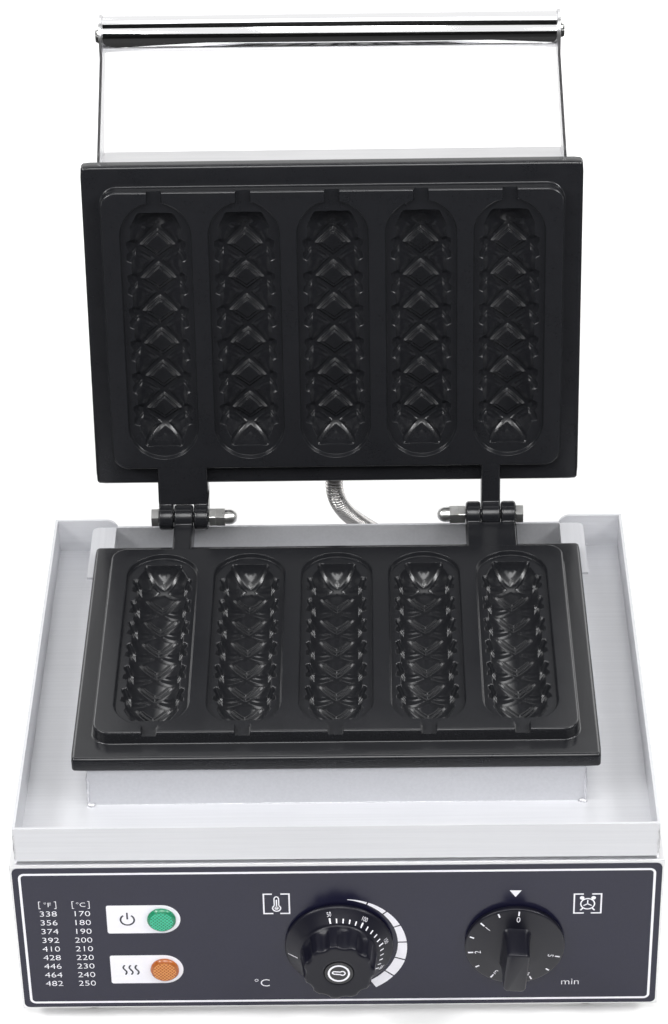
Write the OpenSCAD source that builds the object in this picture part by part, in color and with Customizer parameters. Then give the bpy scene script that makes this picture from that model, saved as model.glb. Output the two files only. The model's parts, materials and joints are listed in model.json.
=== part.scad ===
// Countertop hot dog waffle maker with a hinged lid, shown open.
// X runs to the right, Y from the front panel to the rear and Z up from the table.

/* [Housing] */
// Width of the housing across the front panel
housing_w = 340; // [330:1:380]
// Depth of the housing from the front panel to the rear wall
housing_d = 284; // [280:1:320]
// Height of the housing walls
housing_h = 101; // [98:1:130]
// Thickness of the folded steel sheet
sheet = 1.5; // [1:0.1:2]
// Width of the folded lips at the top and bottom of the housing
lip_w = 14; // [12:1:18]
// Height of the rubber feet
foot_h = 10; // [8:1:20]
// Diameter of a rubber foot
foot_d = 24; // [20:1:30]
// Distance from the side of the housing to the middle of a foot
foot_in_x = 37; // [30:1:60]
// Distance from the front or rear of the housing to the middle of a foot
foot_in_y = 19.5; // [19:0.5:40]
// Thickness of the printed film on the front panel
film_t = 0.4; // [0.2:0.1:1]
// Bare edge of the front panel at the sides and bottom of the film
film_in = 1; // [0.5:0.1:3]
// Bare strip of the front panel above the film
film_top = 2.2; // [0.5:0.1:4]

/* [Tray] */
// Height of the tray from its underside to its rim
rim_h = 23; // [18:1:30]
// Step from the side of the housing to the tray rim
tray_in_x = 3; // [2:0.5:5]
// Step from the front or rear of the housing to the tray rim
tray_in_y = 2; // [2:0.5:5]
// Length of each rear wing of the rim
wing_w = 37; // [20:1:40]
// Radius of the upper inner corner of a wing
wing_r = 7; // [3:1:12]

/* [Riser] */
// Height of the riser box above the tray floor
riser_h = 23.9; // [20:0.1:35]
// Overhang of the lower plate past the sides of the riser
riser_over_x = 8; // [6:0.5:12]
// Overhang of the lower plate past the front of the riser
riser_over_y = 1.1; // [0.5:0.1:6]
// Length of the riser behind the lower plate
riser_tail = 30.6; // [28:0.1:34]
// Length of the flat ears at the rear corners of the riser
ear_l = 50; // [40:1:60]
// Reach of the ears past the sides of the riser
ear_w = 12.2; // [8:0.1:16]

/* [Plates] */
// Width of a plate
plate_w = 279; // [276:1:290]
// Depth of a plate from handle side to hinge side
plate_d = 194; // [190:1:200]
// Thickness of the border of a plate
plate_t = 8; // [6:0.5:12]
// Distance from the front panel to the lower plate
plate_front = 45.4; // [42:0.1:50]
// Height of the raised field above the border
plateau_h = 7.5; // [5:0.5:10]
// Width of the border at the left and right
border_x = 12; // [8:0.5:16]
// Width of the border at the handle side and hinge side
border_y = 14; // [10:0.5:16]
// Depth of the solid back of a plate behind the border
back_h = 12; // [10:0.5:16]
// Gap between the raised fields when the lid is shut
plate_gap = 0.3; // [0.2:0.1:1]

/* [Troughs] */
// Number of troughs
trough_n = 5; // [3:1:5]
// Spacing of the troughs
trough_pitch = 49.3; // [46:0.1:50]
// Radius of a trough to the bottom of its grooves
trough_r = 17; // [15:0.5:18]
// Length of a trough
trough_l = 143; // [130:1:146]
// Length of the tapered end of a trough
taper_l = 14.5; // [10:0.5:20]
// Radius of the flat end of a trough
taper_r = 10.5; // [8:0.5:12]
// Distance from the raised field's handle edge to a trough
trough_front = 11.4; // [10:0.1:12]
// Width of the flat rebate round a trough
rebate_w = 3.3; // [2:0.1:4]
// Depth of the flat rebate
rebate_d = 2.6; // [0.8:0.1:3.5]
// Spacing of the diamonds along a trough
diamond_pitch = 20; // [16:0.5:24]
// Slope of the grooves between the diamonds
diamond_slope = 0.84; // [0.7:0.01:1]
// Width of a groove between diamonds
groove_w = 4.6; // [3:0.1:6]
// Depth of a groove between diamonds
groove_d = 2.7; // [1.5:0.1:4]
// Distance from the handle end of a trough to the middle of the first diamond
diamond_first = 23; // [14:0.5:26]
// Width of the channel for a stick
stick_w = 8; // [5:0.5:10]
// Depth of the channel for a stick
stick_depth = 2.6; // [2:0.1:5]

/* [Hinge] */
// Angle of the open lid from shut
lid_open = 99; // [90:1:105]
// Distance from the middle to each hinge
hinge_x = 89; // [70:1:100]
// Distance from the plate's hinge side to the hinge axis
hinge_back = 17.9; // [17:0.1:22]
// Diameter of a hinge knuckle
knuckle_d = 15; // [13:0.5:16]
// Width of the single knuckle of a hinge
single_w = 10.4; // [8:0.1:12]
// Width of each of the paired knuckles of a hinge
pair_w = 7.2; // [6:0.1:9]
// Gap between neighbouring knuckles
knuckle_gap = 2; // [1:0.1:3]
// Diameter of a hinge bolt
bolt_d = 6; // [5:0.5:8]
// Width of the bolt head and the nuts across their flats
bolt_af = 10; // [9:0.5:13]

/* [Lid] */
// Depth of the cover behind the upper plate
cover_h = 40.2; // [38:0.1:60]
// Step from the side of the upper plate to the cover
cover_in_x = 10; // [8:0.5:12]
// Step from the ends of the upper plate to the cover
cover_in_y = 8; // [6:0.5:10]
// Diameter of the handle tube
tube_d = 20; // [16:0.5:26]
// Length of the handle tube
tube_l = 249.6; // [240:0.1:254]
// Distance from the upper plate's handle edge to the handle tube
tube_out = 68.7; // [55:0.1:90]
// Height of the handle tube above the back of the upper plate
tube_up = 14.2; // [12:0.1:20]
// Width of the rounded end of a handle arm
arm_end_d = 22; // [21:0.5:32]
// Width of a handle arm where it meets the cover
arm_root_w = 34; // [28:0.5:36]

/* [Controls] */
// Height of the knobs above the bottom edge of the housing
knob_up = 45; // [42:0.5:60]
// Distance of the thermostat from the middle of the panel
thermostat_x = 0.5; // [-5:0.5:5]
// Distance of the timer from the right side of the housing
timer_in = 76.8; // [70:0.1:90]
// Diameter of the thermostat knob's skirt
skirt_d = 57; // [50:1:62]
// Diameter of the thermostat knob's grip
grip_d = 40.6; // [34:0.2:44]
// Length of the thermostat knob
thermostat_knob_l = 22.2; // [18:0.1:28]
// Diameter of the timer dial
dial_d = 52.5; // [46:0.5:60]
// Width of the timer dial's grip bar
bar_w = 12.7; // [10:0.1:16]
// Length of the timer dial's grip bar
bar_l = 26.5; // [22:0.5:32]
// Length of the timer dial
timer_knob_l = 23.6; // [20:0.1:28]
// Diameter of the control shafts
shaft_d = 6; // [5:0.5:8]
// Distance of the lamps from the left side of the housing
lamp_in = 77.5; // [60:0.5:90]
// Height of the power lamp above the bottom edge of the housing
power_lamp_up = 63.4; // [58:0.1:75]
// Height of the heat lamp above the bottom edge of the housing
heat_lamp_up = 27.8; // [22:0.1:40]
// Diameter of a lamp lens
lamp_d = 15.1; // [12:0.1:18]

/* [Wiring] */
// Diameter of the flexible metal conduit over its ribs
conduit_d = 10.5; // [9:0.1:12]
// Spacing of the ribs of the conduit
rib_pitch = 2.1; // [1.8:0.1:3]
// Depth of the ribs of the conduit
rib_d = 0.9; // [0.5:0.1:1.2]
// Bore of the conduit
conduit_bore = 6.4; // [5:0.1:7]
// Bore of the gland for the power cord
cord_bore = 8; // [6:0.5:10]

/* [Hidden] */
$fn = 64;
// Overshoot of a cutting shape past the face it cuts
cut = 1;
// Clearance of a running or seated fit, on the radius
fit = 0.05;
// Clearance between pieces that must not touch
clear = 0.3;

// Levels above the table
housing_top = foot_h + housing_h;
tray_floor = housing_top + sheet;
plate_under = tray_floor + riser_h;
part_z = plate_under + plate_t + plateau_h;
hinge_z = part_z + plate_gap / 2;
upper_back_z = part_z + plate_gap + plateau_h + plate_t;
cover_top_z = upper_back_z + cover_h;
knob_z = foot_h + knob_up;

// Distances from the middle of the panel
timer_x = housing_w / 2 - timer_in;
lamp_x = housing_w / 2 - lamp_in;

// Distances behind the front panel
plate_mid = plate_front + plate_d / 2;
plate_rear = plate_front + plate_d;
hinge_y = plate_rear + hinge_back;
riser_front = plate_front + riser_over_y;
riser_rear = plate_rear + riser_tail;

// Inner sizes of the folded sheet pieces
riser_w = plate_w - 2 * riser_over_x;
riser_lip = 10;
riser_foot = 6;
rear_wall_step = 0.8;
cover_t = 1.2;
cover_w = plate_w - 2 * cover_in_x;
cover_d = plate_d - 2 * cover_in_y;

// Sizes of the stack behind each plate
plateau_w = plate_w - 2 * border_x;
plateau_d = plate_d - 2 * border_y;
plateau_r = 8;
back_in_x = 9;
back_in_y = 6;
back_w = plateau_w - 2 * back_in_x;
back_d = plateau_d - 2 * back_in_y;
stack_z = plateau_h + plate_t + back_h;
element_d = 8.5;
element_gap = 0.1;
element_rows = 4;
element_edge_x = 4.25;
element_edge_y = 6.75;
element_pitch = (back_d - element_d - 2 * element_edge_y) / (element_rows - 1);
element_leg = back_w - element_pitch - element_d - 2 * element_edge_x;
clamp_t = 2;
clamp_edge = 3.5;
clamp_w = back_w - 2 * clamp_edge;
clamp_d = back_d - 2 * clamp_edge;
insulation_t = 10;
clamp_z = stack_z + element_d + 2 * element_gap;
stack_end = clamp_z + clamp_t + insulation_t;
clamp_screw_d = 5;
clamp_screw_x = 60;

// Fasteners
screw_d = 4;
head_d = 7.5;
head_h = 2.4;
nut_af = 7;
nut_h = 3.2;
bolt_head_h = 4;
jam_nut_h = 4;
acorn_hex_h = 5.2;
plate_screw_d = 5;
plate_screw_in = 6;

// Position of the whole in depth, halfway between the timer bar and the back of the open lid
knob_gap = 1;
front_reach = knob_gap + timer_knob_l;
function open_y(y, z) = hinge_y + (y - hinge_y) * cos(lid_open) + (z - hinge_z) * sin(lid_open);
function open_z(y, z) = hinge_z - (y - hinge_y) * sin(lid_open) + (z - hinge_z) * cos(lid_open);
cover_reach = open_y(plate_front + cover_in_y, cover_top_z);
handle_reach = open_y(plate_front - tube_out, upper_back_z + tube_up) + arm_end_d / 2;
rear_reach = max(cover_reach, handle_reach);
middle_y = (rear_reach - front_reach) / 2;

// Moves a piece from the panel's frame to the middle of the whole
module placed() {
    translate([0, -middle_y, 0])
        children();
}

// Swings a piece of the shut lid to the open lid
module opened() {
    translate([0, hinge_y, hinge_z])
        rotate([-lid_open, 0, 0])
            translate([0, -hinge_y, -hinge_z])
                children();
}

// Places the parts of the lower and the upper plate, which share one casting
module lower_place() {
    translate([0, plate_mid, part_z])
        children();
}

module upper_place() {
    opened()
        translate([0, plate_mid, part_z + plate_gap])
            rotate([0, 180, 0])
                children();
}

// Flat rectangle with round corners, centred
module round_rect(w, d, r) {
    square([w - 2 * r, d], center = true);
    square([w, d - 2 * r], center = true);
    for (sx = [-1, 1], sy = [-1, 1])
        translate([sx * (w / 2 - r), sy * (d / 2 - r)])
            circle(r);
}

// Flat slot with half-round ends along Y, centred
module slot_shape(w, l) {
    square([w, l - w], center = true);
    for (s = [-1, 1])
        translate([0, s * (l - w) / 2])
            circle(d = w);
}

// Box centred in X with its front at y and its bottom at z
module box(w, y, d, z, h) {
    translate([-w / 2, y, z])
        cube([w, d, h]);
}

// Round bar along Y from y0 to y1
module bar_y(x, z, d, y0, y1) {
    translate([x, y1, z])
        rotate([90, 0, 0])
            cylinder(d = d, h = y1 - y0);
}

// Round bar along X, centred on x
module bar_x(x, y, z, d, l) {
    translate([x, y, z])
        rotate([0, 90, 0])
            cylinder(d = d, h = l, center = true);
}

// Hexagonal bar along Z by its width across flats
module hexagon(af, h) {
    cylinder(d = af / cos(30), h = h, $fn = 6);
}

// Round bar between two points, with a larger ball at its start
module bent_bar(a, b, d) {
    v = b - a;
    ball_d = 1.2 * d;
    translate(a)
        rotate([0, acos(v[2] / norm(v)), atan2(v[1], v[0])])
            cylinder(d = d, h = norm(v));
    translate(a)
        sphere(d = ball_d);
}

// Pan-head screw along Z with the underside of its head at zero and its shank below
module pan_screw(d, head, head_h, l) {
    cylinder(d1 = head, d2 = head * 0.75, h = head_h);
    translate([0, 0, -l])
        cylinder(d = d, h = l + cut / 2);
}

// Hexagonal nut along Z with a round hole
module nut(d, af, h) {
    difference() {
        hexagon(af, h);
        translate([0, 0, -cut])
            cylinder(d = d + 2 * fit, h = h + 2 * cut);
    }
}

// Places of the fasteners
bottom_screw_in = lip_w / 2 + sheet / 2;
bottom_screw_end = 45;
bottom_screw_y = [bottom_screw_end, housing_d / 2, housing_d - bottom_screw_end];
tray_stud_x = housing_w / 2 - (lip_w + tray_in_x + sheet) / 2;
tray_stud_end = 40;
tray_stud_y = [tray_stud_end, housing_d / 2, housing_d - tray_stud_end];
control_screw_dx = 14;
plate_screw_x = riser_w / 2 - sheet - riser_lip / 2;
plate_screw_front = 30;
plate_screw_rear = 40;
plate_screw_y = [plate_front + plate_screw_front, plate_rear - plate_screw_rear];
cover_post_x = 105;
cover_post_y = (cover_d / 2 - cover_t + plateau_d / 2 - back_in_y) / 2;

// Housing
shaft_hole_d = shaft_d + 4;
lamp_body_d = lamp_d - 2.3;
gland_hole_d = 16;
power_gland_in = 60;
power_gland_up = 35;
power_gland_x = power_gland_in - housing_w / 2;
power_gland_z = foot_h + power_gland_up;
lead_gland_in = 126;
lead_gland_up = 56;
lead_gland_x = housing_w / 2 - lead_gland_in;
lead_gland_z = foot_h + lead_gland_up;
bottom_t = sheet;

module control_holes(y0, y1) {
    for (x = [thermostat_x, timer_x]) {
        bar_y(x, knob_z, shaft_hole_d, y0, y1);
        for (s = [-1, 1])
            bar_y(x + s * control_screw_dx, knob_z, screw_d + 2 * fit, y0, y1);
    }
    for (up = [power_lamp_up, heat_lamp_up])
        bar_y(-lamp_x, foot_h + up, lamp_body_d + 2 * fit, y0, y1);
}

module base_housing() {
    lip_z = foot_h + bottom_t;
    color("silver")
        difference() {
            box(housing_w, 0, housing_d, foot_h, housing_h);
            box(housing_w - 2 * sheet, sheet, housing_d - 2 * sheet, foot_h - cut, bottom_t + cut);
            box(housing_w - 2 * sheet, sheet, housing_d - 2 * sheet, lip_z + sheet,
                housing_h - bottom_t - 2 * sheet);
            box(housing_w - 2 * lip_w, lip_w, housing_d - 2 * lip_w, foot_h - cut, housing_h + 2 * cut);
            control_holes(-cut, sheet + cut);
            bar_y(power_gland_x, power_gland_z, gland_hole_d, housing_d - sheet - cut, housing_d + cut);
            bar_y(lead_gland_x, lead_gland_z, gland_hole_d, housing_d - sheet - cut, housing_d + cut);
            for (s = [-1, 1], y = tray_stud_y)
                translate([s * tray_stud_x, y, housing_top - sheet - cut])
                    cylinder(d = screw_d + 2 * fit, h = sheet + 2 * cut);
            for (s = [-1, 1], y = bottom_screw_y)
                translate([s * (housing_w / 2 - bottom_screw_in), y, lip_z - cut])
                    cylinder(d = screw_d + 2 * fit, h = sheet + 2 * cut);
        }
}

module panel_film() {
    film_r = 3;
    film_h = housing_h - film_in - film_top;
    color("darkslategray")
        difference() {
            translate([0, 0, foot_h + film_in + film_h / 2])
                rotate([90, 0, 0])
                    linear_extrude(film_t)
                        round_rect(housing_w - 2 * film_in, film_h, film_r);
            control_holes(-film_t - cut, cut);
        }
}

module bottom_cover() {
    slot_l = 60;
    slot_w = 4;
    slot_pitch = 14;
    slot_rows = 9;
    edge = sheet + clear;
    color("gainsboro")
        difference() {
            box(housing_w - 2 * edge, edge, housing_d - 2 * edge, foot_h, bottom_t);
            for (i = [0 : slot_rows - 1])
                translate([(i - (slot_rows - 1) / 2) * slot_pitch, housing_d / 2, foot_h - cut])
                    linear_extrude(bottom_t + 2 * cut)
                        slot_shape(slot_w, slot_l);
            for (s = [-1, 1], y = bottom_screw_y)
                translate([s * (housing_w / 2 - bottom_screw_in), y, foot_h - cut])
                    cylinder(d = screw_d + 2 * fit, h = bottom_t + 2 * cut);
            foot_places()
                translate([0, 0, foot_h - cut])
                    cylinder(d = screw_d + 2 * fit, h = bottom_t + 2 * cut);
        }
}

module bottom_screws() {
    color("lightgray")
        for (s = [-1, 1], y = bottom_screw_y)
            translate([s * (housing_w / 2 - bottom_screw_in), y, foot_h])
                rotate([180, 0, 0])
                    pan_screw(screw_d, head_d, head_h, bottom_t + sheet + 3);
}

// Feet
module foot_places() {
    for (s = [-1, 1], y = [foot_in_y, housing_d - foot_in_y])
        translate([s * (housing_w / 2 - foot_in_x), y, 0])
            children();
}

foot_pocket_d = head_d + 2;
foot_floor = 4;

module feet() {
    color("black")
        foot_places()
            difference() {
                cylinder(d1 = foot_d - 4, d2 = foot_d, h = foot_h);
                translate([0, 0, -cut])
                    cylinder(d = foot_pocket_d, h = foot_h - foot_floor + cut);
                translate([0, 0, -cut])
                    cylinder(d = screw_d + 2 * fit, h = foot_h + 2 * cut);
            }
}

module foot_screws() {
    color("lightgray")
        foot_places()
            translate([0, 0, foot_h - foot_floor])
                rotate([180, 0, 0])
                    pan_screw(screw_d, head_d, head_h, foot_floor + bottom_t + nut_h + 1);
}

module foot_nuts() {
    color("lightgray")
        foot_places()
            translate([0, 0, foot_h + bottom_t])
                nut(screw_d, nut_af, nut_h);
}

// Tray and riser
module wing(s) {
    x0 = s * (housing_w / 2 - tray_in_x);
    translate([x0, housing_d - tray_in_y, housing_top])
        rotate([90, 0, 0])
            linear_extrude(sheet)
                mirror([s > 0 ? 1 : 0, 0]) {
                    square([wing_w - wing_r, rim_h]);
                    square([wing_w, rim_h - wing_r]);
                    translate([wing_w - wing_r, rim_h - wing_r])
                        circle(wing_r);
                }
}

module drip_tray() {
    tray_w = housing_w - 2 * tray_in_x;
    tray_d = housing_d - 2 * tray_in_y;
    window_w = riser_w - 2 * sheet - 2 * riser_foot;
    window_y = riser_front + sheet + riser_foot;
    window_d = plate_rear - riser_over_x - window_y;
    stud_l = sheet + nut_h + 1;
    seam_in = sheet;
    seam_h = 0.8 * sheet;
    color("whitesmoke")
        union() {
            difference() {
                union() {
                    box(tray_w - 2 * seam_in, tray_in_y + seam_in, tray_d - 2 * seam_in, housing_top, sheet);
                    box(tray_w, tray_in_y, tray_d, housing_top + seam_h, rim_h - seam_h);
                }
                box(tray_w - 2 * sheet, tray_in_y + sheet, tray_d, tray_floor, rim_h);
                box(window_w, window_y, window_d, housing_top - cut, sheet + 2 * cut);
            }
            wing(-1);
            wing(1);
            for (s = [-1, 1], y = tray_stud_y)
                translate([s * tray_stud_x, y, housing_top - stud_l])
                    cylinder(d = screw_d, h = stud_l + sheet / 2);
        }
}

module tray_nuts() {
    color("lightgray")
        for (s = [-1, 1], y = tray_stud_y)
            translate([s * tray_stud_x, y, housing_top - sheet - nut_h])
                nut(screw_d, nut_af, nut_h);
}

// Horizontal ear at a rear corner of the riser
module riser_ear(s) {
    ear_r = 4;
    reach = ear_w + sheet;
    translate([s * (riser_w / 2 - sheet), riser_rear - ear_l, plate_under - sheet])
        mirror([s < 0 ? 1 : 0, 0, 0])
            linear_extrude(sheet) {
                square([reach, ear_l - ear_r]);
                square([reach - ear_r, ear_l]);
                translate([reach - ear_r, ear_l - ear_r])
                    circle(ear_r);
            }
}

module plate_riser() {
    depth = riser_rear - riser_front;
    lip_end = plate_rear - riser_over_x;
    color("gainsboro")
        difference() {
            union() {
                difference() {
                    box(riser_w, riser_front, depth, tray_floor, riser_h);
                    box(riser_w - 2 * sheet, riser_front + sheet, depth - 2 * sheet, tray_floor - cut,
                        riser_h + 2 * cut);
                }
                box(riser_w - 2 * sheet, riser_rear - sheet, sheet, tray_floor, riser_h + rear_wall_step);
                difference() {
                    box(riser_w, riser_front, lip_end - riser_front, plate_under - sheet, sheet);
                    box(riser_w - 2 * sheet - 2 * riser_lip, riser_front + sheet + riser_lip, depth,
                        plate_under - sheet - cut, sheet + 2 * cut);
                }
                difference() {
                    box(riser_w, riser_front, depth, tray_floor, sheet);
                    box(riser_w - 2 * sheet - 2 * riser_foot, riser_front + sheet + riser_foot,
                        depth - 2 * sheet - 2 * riser_foot, tray_floor - cut, sheet + 2 * cut);
                }
                riser_ear(-1);
                riser_ear(1);
            }
            for (s = [-1, 1], y = plate_screw_y)
                translate([s * plate_screw_x, y, plate_under - sheet - cut])
                    cylinder(d = plate_screw_d + 2 * fit, h = sheet + 2 * cut);
        }
}

module plate_screws() {
    color("lightgray")
        for (s = [-1, 1], y = plate_screw_y)
            translate([s * plate_screw_x, y, plate_under - sheet])
                rotate([180, 0, 0])
                    pan_screw(plate_screw_d, head_d + 1, head_h, sheet + plate_screw_in);
}

// One trough about the Y axis, shrunk by an inset
module trough(inset) {
    rotate([-90, 0, 0])
        rotate_extrude()
            polygon([
                [0, inset],
                [taper_r - inset, inset],
                [trough_r - inset, taper_l],
                [trough_r - inset, trough_l - taper_l],
                [taper_r - inset, trough_l - inset],
                [0, trough_l - inset]
            ]);
}

// Crossing grooves seen from above
module lattice() {
    count = ceil(trough_l / diamond_pitch) + 1;
    groove_l = 3 * trough_r;
    for (s = [-1, 1], i = [-1 : count])
        translate([0, diamond_first + (i - 0.5) * diamond_pitch])
            rotate(s * atan(diamond_slope))
                square([groove_l, groove_w], center = true);
}

module trough_cut() {
    rebate_l = trough_l + 4 * rebate_w;
    translate([0, trough_l / 2, -rebate_d])
        linear_extrude(rebate_d + cut)
            slot_shape(2 * (trough_r + rebate_w), rebate_l);
    trough(groove_d);
    intersection() {
        trough(0);
        translate([0, 0, -trough_r - cut])
            linear_extrude(trough_r + cut)
                lattice();
    }
    translate([-stick_w / 2, -trough_front - border_y, -stick_depth])
        cube([stick_w, trough_front + border_y + groove_d + cut, stick_depth + cut]);
}

// Hinge knuckle with its web, centred on x
hinge_local_y = plate_d / 2 + hinge_back;
lug_under = plateau_h + plate_t;

module knuckle(x, w) {
    bar_x(x, hinge_local_y, plate_gap / 2, knuckle_d, w);
    translate([x - w / 2, hinge_local_y - knuckle_d / 2, -lug_under])
        cube([w, knuckle_d, lug_under + plate_gap / 2]);
    translate([x - w / 2, plateau_d / 2 - cut, -lug_under])
        cube([w, border_y + hinge_back + cut, lug_under]);
}

pair_x = (single_w + pair_w) / 2 + knuckle_gap;
pair_total = 2 * pair_x + pair_w;

// Casting of a plate with its raised field at z = 0, facing up
bulb_d = 6;
bulb_l = 70;
bulb_z = lug_under + back_h / 2 + 1;

module casting() {
    slot_back = hinge_back - knuckle_d / 2 - knuckle_gap;
    difference() {
        union() {
            translate([0, 0, -lug_under])
                linear_extrude(plate_t)
                    round_rect(plate_w, plate_d, 3);
            translate([0, 0, -plateau_h - cut])
                linear_extrude(plateau_h + cut)
                    round_rect(plateau_w, plateau_d, plateau_r);
            translate([-back_w / 2, -back_d / 2, -stack_z])
                cube([back_w, back_d, back_h + cut]);
            knuckle(-hinge_x, single_w);
            for (s = [-1, 1])
                knuckle(hinge_x + s * pair_x, pair_w);
            translate([hinge_x - pair_total / 2, plateau_d / 2 - cut, -lug_under])
                cube([pair_total, border_y + slot_back + cut, lug_under]);
        }
        for (i = [0 : trough_n - 1])
            translate([(i - (trough_n - 1) / 2) * trough_pitch, trough_front - plateau_d / 2, 0])
                trough_cut();
        for (s = [-1, 1])
            bar_x(s * hinge_x, hinge_local_y, plate_gap / 2, bolt_d + 2 * fit, pair_total + 2 * cut);
        clamp_places()
            translate([0, 0, -stack_z - cut])
                cylinder(d = clamp_screw_d + 2 * fit, h = back_h / 2 + cut);
        bar_x(-back_w / 2, 0, -bulb_z, bulb_d + 2 * fit, 2 * bulb_l);
        for (s = [-1, 1], y = plate_screw_y)
            translate([s * plate_screw_x, y - plate_mid, -lug_under - cut])
                cylinder(d = plate_screw_d + 2 * fit, h = plate_screw_in + cut);
    }
}

module lower_plate() {
    color("dimgray")
        lower_place()
            casting();
}

module upper_plate() {
    color("dimgray")
        upper_place()
            casting();
}

// Heating element, clamp plate, insulation and clamp screws behind a casting
module clamp_places() {
    for (s = [-1, 1], r = [-1, 1])
        translate([s * clamp_screw_x, r * element_pitch, 0])
            children();
}

module element() {
    pin_d = 4;
    pin_l = 14;
    last = element_rows - 1;
    translate([0, 0, -stack_z - element_gap - element_d / 2])
        union() {
            for (i = [0 : last])
                bar_x(0, (i - last / 2) * element_pitch, 0, element_d, element_leg);
            for (i = [0 : last - 1])
                translate([(i % 2 == 0 ? 1 : -1) * element_leg / 2, (i + 0.5 - last / 2) * element_pitch, 0])
                    rotate(i % 2 == 0 ? -90 : 90)
                        rotate_extrude(angle = 180)
                            translate([element_pitch / 2, 0])
                                circle(d = element_d);
            for (i = [0, last])
                bar_x(-element_leg / 2 - pin_l / 2 + cut, (i - last / 2) * element_pitch, 0, pin_d,
                    pin_l + 2 * cut);
        }
}

module clamp_sheet(z, t) {
    difference() {
        translate([-clamp_w / 2, -clamp_d / 2, -z - t])
            cube([clamp_w, clamp_d, t]);
        clamp_places()
            translate([0, 0, -z - t - cut])
                cylinder(d = clamp_screw_d + 2 * fit, h = t + 2 * cut);
    }
}

module clamp_screw_set() {
    clamp_places()
        translate([0, 0, -stack_end])
            rotate([180, 0, 0])
                union() {
                    hexagon(clamp_screw_d + 3, bolt_head_h);
                    translate([0, 0, stack_z - stack_end - back_h / 2 + cut])
                        cylinder(d = clamp_screw_d, h = stack_end - stack_z + back_h / 2);
                }
}

module lower_heater() {
    color("slategray")
        lower_place()
            element();
}

module lower_clamp() {
    color("lightsteelblue")
        lower_place()
            clamp_sheet(clamp_z, clamp_t);
}

module lower_insulation() {
    color("linen")
        lower_place()
            clamp_sheet(clamp_z + clamp_t, insulation_t);
}

module lower_clamp_screws() {
    color("lightgray")
        lower_place()
            clamp_screw_set();
}

module upper_heater() {
    color("slategray")
        upper_place()
            element();
}

module upper_clamp() {
    color("lightsteelblue")
        upper_place()
            clamp_sheet(clamp_z, clamp_t);
}

module upper_insulation() {
    color("linen")
        upper_place()
            clamp_sheet(clamp_z + clamp_t, insulation_t);
}

module upper_clamp_screws() {
    color("lightgray")
        upper_place()
            clamp_screw_set();
}

// Cover on the back of the upper plate
cover_front = plate_front + cover_in_y;
lid_gland_up = 22;
lid_gland_z = upper_back_z + lid_gland_up;
lid_gland_x = -2;

module cover_post_places(z) {
    for (s = [-1, 1], r = [-1, 1])
        translate([s * cover_post_x, plate_mid + r * cover_post_y, z])
            children();
}

module upper_cover() {
    color("silver")
        opened()
            difference() {
                box(cover_w, cover_front, cover_d, upper_back_z, cover_h);
                box(cover_w - 2 * cover_t, cover_front + cover_t, cover_d - 2 * cover_t,
                    upper_back_z - cut, cover_h - cover_t + cut);
                cover_post_places(cover_top_z - cover_t - cut)
                    cylinder(d = screw_d + 2 * fit, h = cover_t + 2 * cut);
                bar_y(lid_gland_x, lid_gland_z, gland_hole_d, cover_front + cover_d - cover_t - cut,
                    cover_front + cover_d + cut);
                for (s = [-1, 1], y = arm_screw_y)
                    bar_x(s * cover_w / 2, y, arm_root_z, screw_d + 2 * fit, 4 * cover_t);
            }
}

post_thread = 8;

module cover_posts() {
    post_af = 8;
    post_l = cover_h - cover_t;
    color("goldenrod")
        opened()
            cover_post_places(upper_back_z)
                difference() {
                    hexagon(post_af, post_l);
                    translate([0, 0, post_l / 2])
                        cylinder(d = screw_d + 2 * fit, h = post_l);
                }
}

module cover_screws() {
    color("lightgray")
        opened()
            cover_post_places(cover_top_z)
                pan_screw(screw_d, head_d, head_h, cover_t + post_thread);
}

// Handle
arm_t = 1.5;
tube_y = plate_front - tube_out;
tube_z = upper_back_z + tube_up;
arm_root_z = upper_back_z + cover_h - arm_root_w / 2 - 1.5;
arm_root_l = 42;
arm_screw_edge = 9;
arm_screw_y = [cover_front + arm_screw_edge, cover_front + arm_root_l - arm_screw_edge - cover_t];
arm_end_x = tube_l / 2 + arm_t / 2;
arm_root_x = cover_w / 2 + arm_t / 2;
arm_bend_y = cover_front - 4;
end_screw_d = 6;
plug_l = 20;
tube_wall = 1.5;

// Side outline of an arm as Y and Z, from its rounded end to its root on the cover
module arm_side(from, to) {
    intersection() {
        union() {
            polygon([
                [tube_y, tube_z - arm_end_d / 2],
                [arm_bend_y, arm_root_z - arm_root_w / 2],
                [cover_front + arm_root_l, arm_root_z - arm_root_w / 2],
                [cover_front + arm_root_l, arm_root_z + arm_root_w / 2],
                [arm_bend_y, arm_root_z + arm_root_w / 2],
                [tube_y, tube_z + arm_end_d / 2]
            ]);
            translate([tube_y, tube_z])
                circle(d = arm_end_d);
        }
        translate([from, tube_z - 4 * arm_end_d])
            square([to - from, 8 * arm_end_d]);
    }
}

// Stretch of an arm between two distances behind the panel, at the x of its middle
module arm_plate(x, from, to) {
    translate([x - arm_t / 2, 0, 0])
        rotate([90, 0, 90])
            linear_extrude(arm_t)
                arm_side(from, to);
}

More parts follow.
